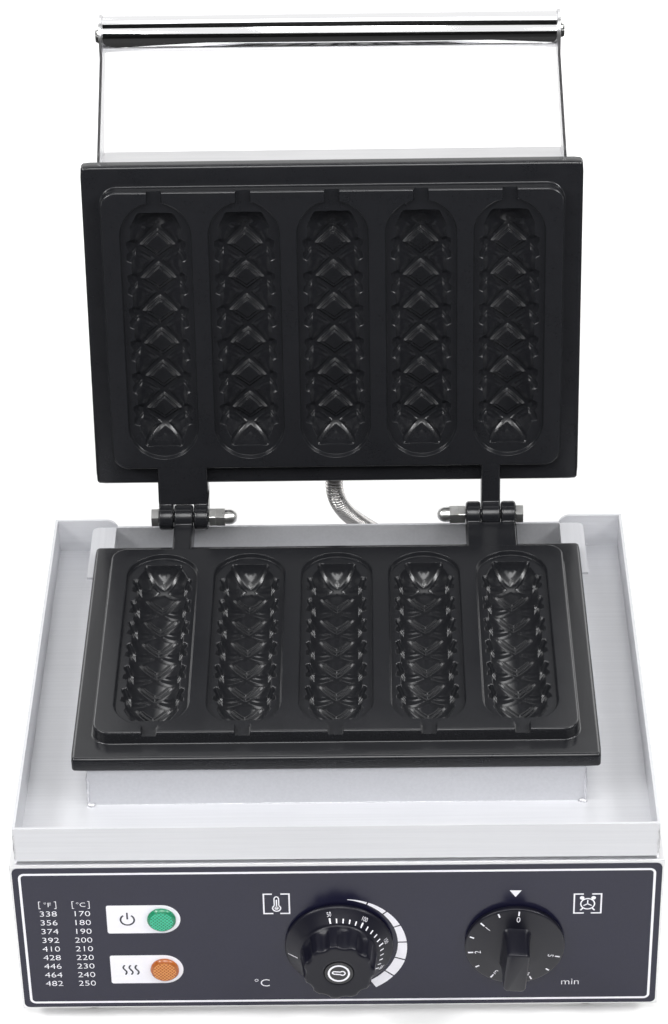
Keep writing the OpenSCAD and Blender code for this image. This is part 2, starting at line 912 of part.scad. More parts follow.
module arm(s) {
    arm_lap = arm_t / 4;
    straight_y = tube_y + arm_end_d / 2;
    slope = atan2(arm_root_x - arm_end_x, arm_bend_y - straight_y);
    run = (arm_bend_y - straight_y) / cos(slope);
    opened()
        difference() {
            union() {
                arm_plate(s * arm_end_x, tube_y - arm_end_d, straight_y);
                translate([s * arm_end_x, straight_y, 0])
                    rotate(-s * slope)
                        translate([0, -straight_y, 0])
                            arm_plate(0, straight_y - arm_lap, straight_y + run + arm_lap);
                arm_plate(s * arm_root_x, arm_bend_y, cover_front + arm_root_l);
            }
            for (y = arm_screw_y)
                bar_x(s * arm_root_x, y, arm_root_z, screw_d + 2 * fit, 4 * arm_t);
            bar_x(s * arm_end_x, tube_y, tube_z, end_screw_d + 2 * fit, 4 * arm_t);
        }
}

module left_arm() {
    color("gainsboro")
        arm(-1);
}

module right_arm() {
    color("gainsboro")
        arm(1);
}

// Turns a screw along Z so that its head faces outwards on the left or right
module facing_out(s) {
    rotate([0, s * 90, 0])
        children();
}

module arm_screws() {
    color("lightgray")
        opened()
            for (s = [-1, 1], y = arm_screw_y)
                translate([s * (arm_root_x + arm_t / 2), y, arm_root_z])
                    facing_out(s)
                        pan_screw(screw_d, head_d, head_h, arm_t + cover_t + nut_h + 1);
}

module arm_nuts() {
    color("lightgray")
        opened()
            for (s = [-1, 1], y = arm_screw_y)
                translate([s * (cover_w / 2 - cover_t - nut_h), y, arm_root_z])
                    facing_out(s)
                        nut(screw_d, nut_af, nut_h);
}

module handle_tube() {
    color("lightsteelblue")
        opened()
            difference() {
                bar_x(0, tube_y, tube_z, tube_d, tube_l);
                bar_x(0, tube_y, tube_z, tube_d - 2 * tube_wall, tube_l + 2 * cut);
            }
}

module handle_plugs() {
    color("gray")
        opened()
            for (s = [-1, 1])
                difference() {
                    bar_x(s * (tube_l - plug_l) / 2, tube_y, tube_z, tube_d - 2 * tube_wall - 2 * fit, plug_l);
                    bar_x(s * (tube_l - plug_l) / 2, tube_y, tube_z, end_screw_d + 2 * fit, plug_l + 2 * cut);
                }
}

module handle_screws() {
    color("lightgray")
        opened()
            for (s = [-1, 1])
                translate([s * (arm_end_x + arm_t / 2), tube_y, tube_z])
                    facing_out(s)
                        pan_screw(end_screw_d, end_screw_d + 5, head_h, plug_l - 4);
}

// Hinge fasteners: head outside, jam nut and acorn nut inside
hinge_face = pair_total / 2 + clear;
bolt_reach = jam_nut_h + acorn_hex_h;

module hinge_side(s) {
    translate([s * hinge_x, hinge_y, hinge_z])
        facing_out(s)
            children();
}

module hinge_bolts() {
    color("silver")
        for (s = [-1, 1])
            hinge_side(s)
                union() {
                    translate([0, 0, hinge_face])
                        hexagon(bolt_af, bolt_head_h);
                    translate([0, 0, -hinge_face - bolt_reach])
                        cylinder(d = bolt_d, h = 2 * hinge_face + bolt_reach + cut);
                }
}

module hinge_nuts() {
    color("silver")
        for (s = [-1, 1])
            hinge_side(s)
                translate([0, 0, -hinge_face - jam_nut_h])
                    nut(bolt_d, bolt_af, jam_nut_h);
}

module acorn_nuts() {
    dome_d = bolt_af - 1;
    dome_l = 2.6;
    color("silver")
        for (s = [-1, 1])
            hinge_side(s)
                translate([0, 0, -hinge_face - jam_nut_h])
                    rotate([180, 0, 0])
                        difference() {
                            union() {
                                hexagon(bolt_af, acorn_hex_h);
                                cylinder(d = dome_d, h = acorn_hex_h + dome_l);
                                translate([0, 0, acorn_hex_h + dome_l])
                                    sphere(d = dome_d);
                            }
                            translate([0, 0, -cut])
                                cylinder(d = bolt_d + 2 * fit, h = acorn_hex_h + cut + 2 * fit);
                        }
}

// Thermostat and timer behind the panel
thermostat_body_w = 40;
thermostat_body_l = 30;
timer_body_w = 46;
timer_body_l = 38;
bracket_t = 1.5;
bracket_gap = 4;
shaft_in = 18;

module control_body(x, w, l) {
    bracket_edge = 6;
    bracket_w = 2 * (control_screw_dx + bracket_edge);
    difference() {
        union() {
            translate([x - bracket_w / 2, sheet, knob_z - w / 4])
                cube([bracket_w, bracket_t, w / 2]);
            translate([x - w / 2, sheet + bracket_t + bracket_gap, knob_z - w / 2])
                cube([w, l, w]);
            bar_y(x, knob_z, shaft_hole_d - 1, 0, sheet + bracket_t + bracket_gap + cut);
        }
        bar_y(x, knob_z, shaft_d + 2 * fit, -cut, shaft_in + clear);
        for (s = [-1, 1])
            bar_y(x + s * control_screw_dx, knob_z, screw_d + 2 * fit, 0, sheet + bracket_t + bracket_gap / 2);
    }
}

module thermostat_body() {
    color("lightgray")
        control_body(thermostat_x, thermostat_body_w, thermostat_body_l);
}

module timer_body() {
    color("ivory")
        control_body(timer_x, timer_body_w, timer_body_l);
}

module control_screws() {
    color("lightgray")
        for (x = [thermostat_x, timer_x], s = [-1, 1])
            translate([x + s * control_screw_dx, -film_t, knob_z])
                rotate([90, 0, 0])
                    pan_screw(screw_d, head_d, head_h, film_t + sheet + bracket_t + bracket_gap / 4);
}

// Sensing bulb in the lower plate and its capillary to the thermostat
module thermostat_bulb() {
    capillary_d = 2;
    bulb_out = 3.5;
    bend_x = -back_w / 2 - bulb_out / 2;
    bulb_world_z = part_z - bulb_z;
    drop = 50;
    inside_z = bulb_world_z - drop;
    body_rear = sheet + bracket_t + bracket_gap + thermostat_body_l;
    lead_in = 20;
    color("peru")
        union() {
            bar_x(-back_w / 2 + bulb_l / 2 - bulb_out, plate_mid, bulb_world_z, bulb_d, bulb_l);
            bent_bar([bend_x, plate_mid, bulb_world_z], [bend_x, plate_mid, inside_z], capillary_d);
            bent_bar([bend_x, plate_mid, inside_z], [thermostat_x, body_rear + lead_in, knob_z], capillary_d);
            bent_bar([thermostat_x, body_rear + lead_in, knob_z], [thermostat_x, body_rear, knob_z],
                capillary_d);
        }
}

// Lamps
lamp_body_l = 22;
lens_t = 2.2;

module lamp(up) {
    tab_x = 3;
    tab_t = 0.8;
    tab_w = 4.8;
    tab_l = 8;
    translate([-lamp_x, -film_t, foot_h + up])
        rotate([90, 0, 0])
            union() {
                cylinder(d = lamp_d, h = lens_t / 2);
                translate([0, 0, lens_t / 2])
                    cylinder(d1 = lamp_d, d2 = lamp_d - 2, h = lens_t / 2);
                translate([0, 0, -lamp_body_l])
                    cylinder(d = lamp_body_d, h = lamp_body_l + lens_t / 2);
                for (s = [-1, 1])
                    translate([s * tab_x - tab_t / 2, -tab_w / 2, -lamp_body_l - tab_l])
                        cube([tab_t, tab_w, tab_l + cut]);
            }
}

module power_lamp() {
    color("seagreen")
        lamp(power_lamp_up);
}

module heat_lamp() {
    color("darkorange")
        lamp(heat_lamp_up);
}

module lamp_nuts() {
    nut_l = 4;
    color("ivory")
        for (up = [power_lamp_up, heat_lamp_up])
            translate([-lamp_x, sheet + nut_l, foot_h + up])
                rotate([90, 0, 0])
                    nut(lamp_body_d, lamp_d + 4, nut_l);
}

// Terminal block on the bottom cover
module terminal_block() {
    block_w = 60;
    block_d = 22;
    block_h = 18;
    ways = 5;
    way = block_w / ways;
    pocket_d = 6;
    pocket_l = 8;
    behind_gland = 45;
    color("ivory")
        translate([power_gland_x - block_w / 2, housing_d - behind_gland - block_d, foot_h + bottom_t])
            difference() {
                cube([block_w, block_d, block_h]);
                for (i = [0 : ways - 1], y = [block_d / 4, block_d * 3 / 4])
                    translate([(i + 0.5) * way, y, block_h - pocket_l])
                        cylinder(d = pocket_d, h = pocket_l + cut);
            }
}

// Glands, made along Z with the wall's outer face at z = 0 and the outside above
gland_l = 12;

gland_tail = 10;
gland_nut_h = 5;

module gland(bore) {
    flange_af = 20;
    flange_l = 5;
    difference() {
        union() {
            hexagon(flange_af, flange_l);
            cylinder(d = flange_af - 3, h = gland_l);
            translate([0, 0, -gland_tail])
                cylinder(d = gland_hole_d - 2 * fit, h = gland_tail + cut);
        }
        translate([0, 0, -gland_tail - cut])
            cylinder(d = bore, h = gland_l + gland_tail + 2 * cut);
    }
}

module gland_nut(wall) {
    translate([0, 0, -wall - gland_nut_h])
        nut(gland_hole_d - 2 * fit, gland_hole_d + 6, gland_nut_h);
}

module on_rear_wall(x, z) {
    translate([x, housing_d, z])
        rotate([-90, 0, 0])
            children();
}

module on_lid_wall() {
    opened()
        translate([lid_gland_x, cover_front + cover_d, lid_gland_z])
            rotate([-90, 0, 0])
                children();
}

module power_gland() {
    color("black")
        on_rear_wall(power_gland_x, power_gland_z)
            gland(cord_bore);
}

module base_lead_gland() {
    color("dimgray")
        on_rear_wall(lead_gland_x, lead_gland_z)
            gland(conduit_bore);
}

module gland_nuts() {
    color("dimgray") {
        on_rear_wall(power_gland_x, power_gland_z)
            gland_nut(sheet);
        on_rear_wall(lead_gland_x, lead_gland_z)
            gland_nut(sheet);
    }
}

module lid_lead_gland() {
    color("dimgray")
        on_lid_wall()
            gland(conduit_bore);
}

module lid_gland_nut() {
    color("dimgray")
        on_lid_wall()
            gland_nut(cover_t);
}

// Flexible conduit from the lid gland to the base gland, straight at both ends
lead_straight = 11;
lead_handle_a = 34;
lead_handle_b = 64;
lead_a_y = cover_front + cover_d + gland_l;
lead_a = [lid_gland_x, open_y(lead_a_y, lid_gland_z), open_z(lead_a_y, lid_gland_z)];
lead_dir = [0, cos(lid_open), -sin(lid_open)];
lead_b = [lead_gland_x, housing_d + gland_l, lead_gland_z];
lead_bend = [
    lead_a + lead_straight * lead_dir,
    lead_a + (lead_straight + lead_handle_a) * lead_dir,
    lead_b + [0, lead_straight + lead_handle_b, 0],
    lead_b + [0, lead_straight, 0]
];
function bezier(t) =
    pow(1 - t, 3) * lead_bend[0] + 3 * t * pow(1 - t, 2) * lead_bend[1]
    + 3 * t * t * (1 - t) * lead_bend[2] + pow(t, 3) * lead_bend[3];
bezier_steps = 60;
bezier_lengths = [
    for (i = 0, s = 0; i <= bezier_steps;
        s = s + norm(bezier((i + 1) / bezier_steps) - bezier(i / bezier_steps)), i = i + 1)
        [s, i / bezier_steps]
];
bend_l = bezier_lengths[bezier_steps][0];
lead_l = bend_l + 2 * lead_straight;
function lead_point(s) =
    s < lead_straight ? lead_a + s * lead_dir
    : s > lead_straight + bend_l ? lead_b + [0, lead_l - s, 0]
    : bezier(lookup(s - lead_straight, bezier_lengths));
function unit(v) = v / norm(v);
function lead_tangent(s) = unit(lead_point(min(s + 0.5, lead_l)) - lead_point(max(s - 0.5, 0)));
function lead_ring(s, r, sides) =
    let (
        t = lead_tangent(s),
        u = unit(cross(t, [1, 0, 0])),
        v = cross(t, u)
    )
    [for (k = [0 : sides - 1])
        lead_point(s) + r * (cos(360 * k / sides) * u + sin(360 * k / sides) * v)];

module lead_conduit() {
    sides = 8;
    ribs = floor(lead_l / rib_pitch);
    last = 2 * ribs;
    step = lead_l / last;
    corner = 1 / cos(180 / sides);
    outer = [for (i = [0 : last])
        lead_ring(i * step, (conduit_d / 2 - (i % 2 == 0 ? rib_d : 0)) * corner, sides)];
    inner = [for (i = [0 : last])
        lead_ring(i * step, conduit_bore / 2 * corner, sides)];
    points = [for (ring = concat(outer, inner)) for (p = ring) p];
    base = (last + 1) * sides;
    wall = [for (i = [0 : last - 1], k = [0 : sides - 1])
        let (a = i * sides + k, b = i * sides + (k + 1) % sides, c = a + sides, d = b + sides)
        each [[a, c, b], [b, c, d], [base + a, base + b, base + c], [base + b, base + d, base + c]]];
    ends = [for (k = [0 : sides - 1])
        let (a = k, b = (k + 1) % sides, e = last * sides)
        each [
            [a, b, base + a], [b, base + b, base + a],
            [e + a, base + e + a, e + b], [e + b, base + e + a, base + e + b]
        ]];
    color("silver")
        polyhedron(points, concat(wall, ends), convexity = 10);
}

// Knobs, made along Z from the panel outwards
hub_d = 12;
shaft_out = 11.5;
pocket_d = 2 * control_screw_dx + head_d + 1;
pocket_h = film_t + head_h + clear - knob_gap;

module on_panel(x) {
    translate([x, -knob_gap, knob_z])
        rotate([90, 0, 0])
            children();
}

module knob_back() {
    difference() {
        translate([0, 0, -cut])
            cylinder(d = pocket_d, h = pocket_h + cut);
        translate([0, 0, -2 * cut])
            cylinder(d = hub_d, h = pocket_h + 3 * cut);
    }
    translate([0, 0, -cut])
        cylinder(d = shaft_d + 2 * fit, h = shaft_out + clear + cut);
}

cap_d = 15;
cap_t = 1.2;

module thermostat_knob() {
    rim_h = 2;
    cone_h = 8;
    flutes = 11;
    flute_d = 11;
    flute_depth = 1.3;
    grip_end_d = grip_d - 3.6;
    taper = atan2((grip_d - grip_end_d) / 2, thermostat_knob_l - cone_h);
    color("dimgray")
        on_panel(thermostat_x)
            difference() {
                union() {
                    cylinder(d = skirt_d, h = rim_h);
                    translate([0, 0, rim_h])
                        cylinder(d1 = skirt_d, d2 = grip_d + 2, h = cone_h - rim_h);
                    difference() {
                        translate([0, 0, cone_h - cut])
                            cylinder(d1 = grip_d, d2 = grip_end_d, h = thermostat_knob_l - cone_h + cut);
                        for (i = [0 : flutes - 1])
                            rotate((i + 0.5) * 360 / flutes)
                                translate([(grip_d + flute_d) / 2 - flute_depth, 0, cone_h])
                                    rotate([0, -taper, 0])
                                        cylinder(d = flute_d, h = thermostat_knob_l);
                    }
                }
                knob_back();
                translate([0, 0, thermostat_knob_l - cap_t])
                    cylinder(d = cap_d + 2 * fit, h = cap_t + cut);
            }
}

module thermostat_cap() {
    color("black")
        on_panel(thermostat_x)
            translate([0, 0, thermostat_knob_l - cap_t])
                cylinder(d = cap_d, h = cap_t);
}

module control_shaft(x) {
    on_panel(x)
        translate([0, 0, -shaft_in - knob_gap])
            cylinder(d = shaft_d, h = shaft_in + knob_gap + shaft_out);
}

module thermostat_shaft() {
    color("lightgray")
        control_shaft(thermostat_x);
}

module timer_shaft() {
    color("lightgray")
        control_shaft(timer_x);
}

module timer_knob() {
    rim_h = 3;
    face_h = 5;
    bar_r = 3;
    rest_turn = 4.5;
    color("dimgray")
        on_panel(timer_x)
            rotate(-rest_turn)
                difference() {
                    union() {
                        cylinder(d = dial_d, h = rim_h);
                        translate([0, 0, rim_h])
                            cylinder(d1 = dial_d - 1, d2 = bar_l, h = face_h - rim_h);
                        translate([0, 0, rim_h])
                            linear_extrude(timer_knob_l - rim_h)
                                round_rect(bar_w, bar_l, bar_r);
                    }
                    knob_back();
                }
}

placed() base_housing();
placed() panel_film();
placed() bottom_cover();
placed() bottom_screws();
placed() feet();
placed() foot_screws();
placed() foot_nuts();
placed() drip_tray();
placed() tray_nuts();
placed() plate_riser();
placed() lower_plate();
placed() plate_screws();
placed() lower_heater();
placed() lower_clamp();
placed() lower_insulation();
placed() lower_clamp_screws();
placed() thermostat_body();
placed() thermostat_bulb();
placed() timer_body();
placed() control_screws();
placed() power_lamp();
placed() heat_lamp();
placed() lamp_nuts();
placed() terminal_block();
placed() power_gland();
placed() base_lead_gland();
placed() gland_nuts();
placed() lead_conduit();
placed() hinge_bolts();
placed() hinge_nuts();
placed() acorn_nuts();
placed() upper_plate();
placed() upper_heater();
placed() upper_clamp();
placed() upper_insulation();
placed() upper_clamp_screws();
placed() upper_cover();
placed() cover_posts();
placed() cover_screws();
placed() left_arm();
placed() right_arm();
placed() arm_screws();
placed() arm_nuts();
placed() handle_tube();
placed() handle_plugs();
placed() handle_screws();
placed() lid_lead_gland();
placed() lid_gland_nut();
placed() thermostat_knob();
placed() thermostat_cap();
placed() thermostat_shaft();
placed() timer_knob();
placed() timer_shaft();
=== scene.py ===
import json
import math
import bpy
import numpy as np
from mathutils import Matrix, Vector
from mathutils.geometry import delaunay_2d_cdt


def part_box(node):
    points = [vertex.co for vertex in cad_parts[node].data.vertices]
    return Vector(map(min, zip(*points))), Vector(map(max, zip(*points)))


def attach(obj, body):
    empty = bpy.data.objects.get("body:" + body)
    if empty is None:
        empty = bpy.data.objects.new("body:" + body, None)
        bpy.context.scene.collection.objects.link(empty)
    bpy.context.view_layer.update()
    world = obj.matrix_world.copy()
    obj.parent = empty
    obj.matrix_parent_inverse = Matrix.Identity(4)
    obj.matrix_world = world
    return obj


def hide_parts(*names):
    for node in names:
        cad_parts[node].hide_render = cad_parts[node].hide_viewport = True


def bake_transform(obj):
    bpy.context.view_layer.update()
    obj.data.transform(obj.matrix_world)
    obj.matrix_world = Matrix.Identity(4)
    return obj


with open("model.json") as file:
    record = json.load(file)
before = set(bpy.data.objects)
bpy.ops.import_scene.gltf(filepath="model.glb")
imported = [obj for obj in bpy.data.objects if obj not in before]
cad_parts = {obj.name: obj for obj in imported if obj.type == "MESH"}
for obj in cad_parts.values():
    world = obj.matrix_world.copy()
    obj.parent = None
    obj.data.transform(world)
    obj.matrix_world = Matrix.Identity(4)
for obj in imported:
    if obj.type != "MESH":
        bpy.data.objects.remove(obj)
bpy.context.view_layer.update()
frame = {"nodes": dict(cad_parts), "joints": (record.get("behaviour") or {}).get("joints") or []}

scene = bpy.context.scene

# The view: a long lens in front of the machine and above it, turned a degree aside, so
# that the open lid stands upright over the tray and the front panel looks shallow.
panel_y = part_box("base_housing")[0].y
down, aside, tilt = math.radians(34.52), math.radians(-0.98), math.radians(-1.19)
ahead = Vector((math.sin(aside) * math.cos(down), math.cos(aside) * math.cos(down), -math.sin(down)))
level = Vector((math.cos(aside), -math.sin(aside), 0))
over = level.cross(ahead)
across = math.cos(tilt) * level + math.sin(tilt) * over
upward = math.cos(tilt) * over - math.sin(tilt) * level
eye = Vector((0.02286, panel_y - 1.18545, 1.14817))
lens = bpy.data.cameras.new("view")
lens.sensor_fit = "VERTICAL"
lens.sensor_height = 24
lens.lens = 3019.84 / 1024 * lens.sensor_height
lens.shift_y = -1.72 / 1024
view = bpy.data.objects.new("view", lens)
scene.collection.objects.link(view)
view.matrix_world = Matrix((
    (across.x, upward.x, -ahead.x, eye.x),
    (across.y, upward.y, -ahead.y, eye.y),
    (across.z, upward.z, -ahead.z, eye.z),
    (0, 0, 0, 1),
))
scene.camera = view

# The studio: a white table in a white room, with a high softbox in front, narrow ones at the
# sides and weaker ones above and behind. Black cards that only reflections see stand round
# it and lie on the table, and give chrome and coating their dark bands.
scene.view_settings.view_transform = "Standard"
room = bpy.data.worlds.new("white_room")
room.use_nodes = True
scene.world = room


def seen_by_mirror(tree):
    ray = tree.nodes.new("ShaderNodeLightPath")
    first = tree.nodes.new("ShaderNodeMath")
    first.operation = "MAXIMUM"
    tree.links.new(ray.outputs["Is Camera Ray"], first.inputs[0])
    tree.links.new(ray.outputs["Is Glossy Ray"], first.inputs[1])
    both = tree.nodes.new("ShaderNodeMath")
    both.operation = "MAXIMUM"
    tree.links.new(first.outputs[0], both.inputs[0])
    tree.links.new(ray.outputs["Is Transmission Ray"], both.inputs[1])
    return both.outputs[0]


room_level = room.node_tree.nodes.new("ShaderNodeMapRange")
room_level.inputs["To Min"].default_value = 0.17
room_level.inputs["To Max"].default_value = 1.0
room.node_tree.links.new(seen_by_mirror(room.node_tree), room_level.inputs["Value"])
sky = room.node_tree.nodes["Background"]
sky.inputs["Color"].default_value = (1, 1, 1, 1)
room.node_tree.links.new(room_level.outputs["Result"], sky.inputs["Strength"])


def softbox(name, place, aim, size, watts):
    lamp = bpy.data.lights.new(name, "AREA")
    lamp.shape = "RECTANGLE"
    lamp.size, lamp.size_y = size
    lamp.energy = watts
    holder = bpy.data.objects.new(name, lamp)
    holder.location = place
    holder.rotation_euler = (Vector(aim) - Vector(place)).to_track_quat("-Z", "Y").to_euler()
    scene.collection.objects.link(holder)


softbox("front_softbox", (0.0, -0.96, 1.5), (0, 0.05, 0.25), (0.85, 0.75), 12.5)
softbox("overhead_softbox", (0.0, 0.55, 1.6), (0, 0, 0.1), (1.5, 0.5), 4)
for side in (-1, 1):
    softbox(f"side_softbox_{side}", (1.12 * side, -0.55, 1.15), (0, 0.1, 0.3), (1.1, 0.25), 16)
    softbox(f"rear_softbox_{side}", (1.1 * side, 1.2, 0.95), (0, 0.1, 0.2), (0.8, 0.9), 5.5)


def make_mesh(name, points, faces, finish, smooth=True):
    mesh = bpy.data.meshes.new(name)
    mesh.from_pydata([tuple(p) for p in points], [], [tuple(f) for f in faces])
    mesh.polygons.foreach_set("use_smooth", [smooth] * len(mesh.polygons))
    mesh.materials.append(finish)
    mesh.update()
    piece = bpy.data.objects.new(name, mesh)
    scene.collection.objects.link(piece)
    return piece


table = bpy.data.materials.new("white_table")
table.use_nodes = True
table_skin = table.node_tree.nodes["Principled BSDF"]
table_skin.inputs["Base Color"].default_value = (0.8, 0.8, 0.8, 1)
table_skin.inputs["Roughness"].default_value = 0.9
table_skin.inputs["Specular IOR Level"].default_value = 0.1
table_glow = table.node_tree.nodes.new("ShaderNodeEmission")
table_place = table.node_tree.nodes.new("ShaderNodeTexCoord")
table_reach = table.node_tree.nodes.new("ShaderNodeVectorMath")
table_reach.operation = "LENGTH"
table.node_tree.links.new(table_place.outputs["Object"], table_reach.inputs[0])
table_fade = table.node_tree.nodes.new("ShaderNodeMapRange")
for socket, value in (("From Min", 0.5), ("From Max", 1.6), ("To Min", 0.22), ("To Max", 1.0)):
    table_fade.inputs[socket].default_value = value
table.node_tree.links.new(table_reach.outputs["Value"], table_fade.inputs["Value"])
table_level = table.node_tree.nodes.new("ShaderNodeMath")
table_level.operation = "MULTIPLY"
table.node_tree.links.new(seen_by_mirror(table.node_tree), table_level.inputs[0])
table.node_tree.links.new(table_fade.outputs["Result"], table_level.inputs[1])
table.node_tree.links.new(table_level.outputs[0], table_glow.inputs["Strength"])
table_sum = table.node_tree.nodes.new("ShaderNodeAddShader")
table.node_tree.links.new(table_skin.outputs[0], table_sum.inputs[0])
table.node_tree.links.new(table_glow.outputs[0], table_sum.inputs[1])
table.node_tree.links.new(table_sum.outputs[0], table.node_tree.nodes["Material Output"].inputs["Surface"])
make_mesh("table", [(-4, -4, 0), (4, -4, 0), (4, 4, 0), (-4, 4, 0)], [(0, 1, 2, 3)], table)

card_black = bpy.data.materials.new("black_card")
card_black.use_nodes = True
card_black.node_tree.nodes["Principled BSDF"].inputs["Base Color"].default_value = (0.01, 0.01, 0.01, 1)
card_black.node_tree.nodes["Principled BSDF"].inputs["Roughness"].default_value = 1
for name, (x0, y0, z0), (x1, y1, z1) in (
        ("front_card", (-3, -3, 0), (3, -3, 1.75)),
        ("table_card", (-3, -3, 0.004), (3, -0.38, 0.004)),
        ("left_card", (-3, -0.38, 0.004), (-0.3, 2, 0.004)),
        ("right_card", (0.3, -0.38, 0.004), (3, 2, 0.004)),
        ("left_wall", (-2.2, -3, 0.5), (-2.2, 0.7, 2.6)),
        ("right_wall", (2.2, -3, 0.5), (2.2, 0.7, 2.6)),
        ("overhead_card", (-3, -0.75, 1.95), (3, 0.25, 1.95))):
    second, fourth = (y0, y1) if z0 == z1 else (y1, y0)
    corners = [(x0, y0, z0), (x1, second, z0), (x1, y1, z1), (x0, fourth, z1)]
    card = make_mesh(name, corners, [(0, 1, 2, 3)], card_black)
    card.visible_camera = card.visible_diffuse = card.visible_shadow = False

# The housing: a box folded from brushed stainless sheet with lips top and bottom, on a
# flat bottom cover. The brushing runs level round the four walls.


def surface(name, colours, rough, grain, bump=0.0, metal=0.0, detail=4.0, blotch=30.0, fold=0.0,
            **sockets):
    finish = bpy.data.materials.new(name)
    finish.use_nodes = True
    tree = finish.node_tree
    skin = tree.nodes["Principled BSDF"]
    skin.inputs["Metallic"].default_value = metal
    for socket, value in sockets.items():
        skin.inputs[socket.replace("_", " ")].default_value = value
    place = tree.nodes.new("ShaderNodeTexCoord")
    stretch = tree.nodes.new("ShaderNodeMapping")
    stretch.inputs["Scale"].default_value = grain
    tree.links.new(place.outputs["Object"], stretch.inputs["Vector"])
    noise = tree.nodes.new("ShaderNodeTexNoise")
    noise.inputs["Scale"].default_value = 1
    noise.inputs["Detail"].default_value = detail
    tree.links.new(stretch.outputs["Vector"], noise.inputs["Vector"])
    cloud = tree.nodes.new("ShaderNodeTexNoise")
    cloud.inputs["Scale"].default_value = blotch
    cloud.inputs["Detail"].default_value = 3
    tree.links.new(place.outputs["Object"], cloud.inputs["Vector"])
    both = tree.nodes.new("ShaderNodeMix")
    both.inputs["Factor"].default_value = 0.4
    tree.links.new(noise.outputs["Fac"], both.inputs["A"])
    tree.links.new(cloud.outputs["Fac"], both.inputs["B"])
    ramp = tree.nodes.new("ShaderNodeValToRGB")
    ramp.color_ramp.elements[0].position, ramp.color_ramp.elements[1].position = 0.3, 0.7
    ramp.color_ramp.elements[0].color = (*colours[0], 1)
    ramp.color_ramp.elements[1].color = (*colours[1], 1)
    tree.links.new(both.outputs["Result"], ramp.inputs["Fac"])
    tree.links.new(ramp.outputs["Color"], skin.inputs["Base Color"])
    shine = tree.nodes.new("ShaderNodeMapRange")
    shine.inputs["From Min"].default_value, shine.inputs["From Max"].default_value = 0.3, 0.7
    shine.inputs["To Min"].default_value, shine.inputs["To Max"].default_value = rough
    tree.links.new(both.outputs["Result"], shine.inputs["Value"])
    tree.links.new(shine.outputs["Result"], skin.inputs["Roughness"])
    if bump:
        relief = tree.nodes.new("ShaderNodeBump")
        relief.inputs["Strength"].default_value = 0.5
        relief.inputs["Distance"].default_value = bump
        tree.links.new(noise.outputs["Fac"], relief.inputs["Height"])
        tree.links.new(relief.outputs["Normal"], skin.inputs["Normal"])
        if fold:
            bend = tree.nodes.new("ShaderNodeBevel")
            bend.inputs["Radius"].default_value = fold
            tree.links.new(bend.outputs["Normal"], relief.inputs["Normal"])
    return finish


def dress(finish, edge, *nodes):
    for name in nodes:
        solid = frame["nodes"][name]
        for place in solid.material_slots:
            place.material = finish
        if edge:
            weld = solid.modifiers.new("weld", "WELD")
            weld.merge_threshold = 0.000002
            rounding = solid.modifiers.new("rounding", "BEVEL")
            rounding.width = edge
            rounding.segments = 2
            rounding.limit_method = "ANGLE"
            rounding.angle_limit = math.radians(35)
            rounding.use_clamp_overlap = True
            rounding.harden_normals = True


brushed_steel = surface("brushed_steel", ((0.68, 0.68, 0.69), (0.76, 0.76, 0.77)), (0.28, 0.38),
                        (10, 10, 1600), bump=0.00001, metal=1.0, fold=0.0008)
dress(brushed_steel, 0, "base_housing", "bottom_cover")

# The panel film: a thin charcoal plastic sheet glued on the front wall and printed white
# from the front, with round corners and a border line.
film_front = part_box("panel_film")[0].y
film_skin = surface("charcoal_film", ((0.009, 0.009, 0.025), (0.012, 0.012, 0.031)), (0.16, 0.24),
                    (900, 900, 900), bump=0.000004, blotch=25.0, Specular_IOR_Level=0.42)
dress(film_skin, 0, "panel_film")
white_ink = surface("white_ink", ((0.84, 0.83, 0.89), (0.9, 0.89, 0.95)), (0.42, 0.55),
                    (1500, 1500, 1500))
dark_ink = surface("dark_ink", ((0.02, 0.02, 0.03), (0.03, 0.03, 0.045)), (0.45, 0.55),
                   (1500, 1500, 1500))


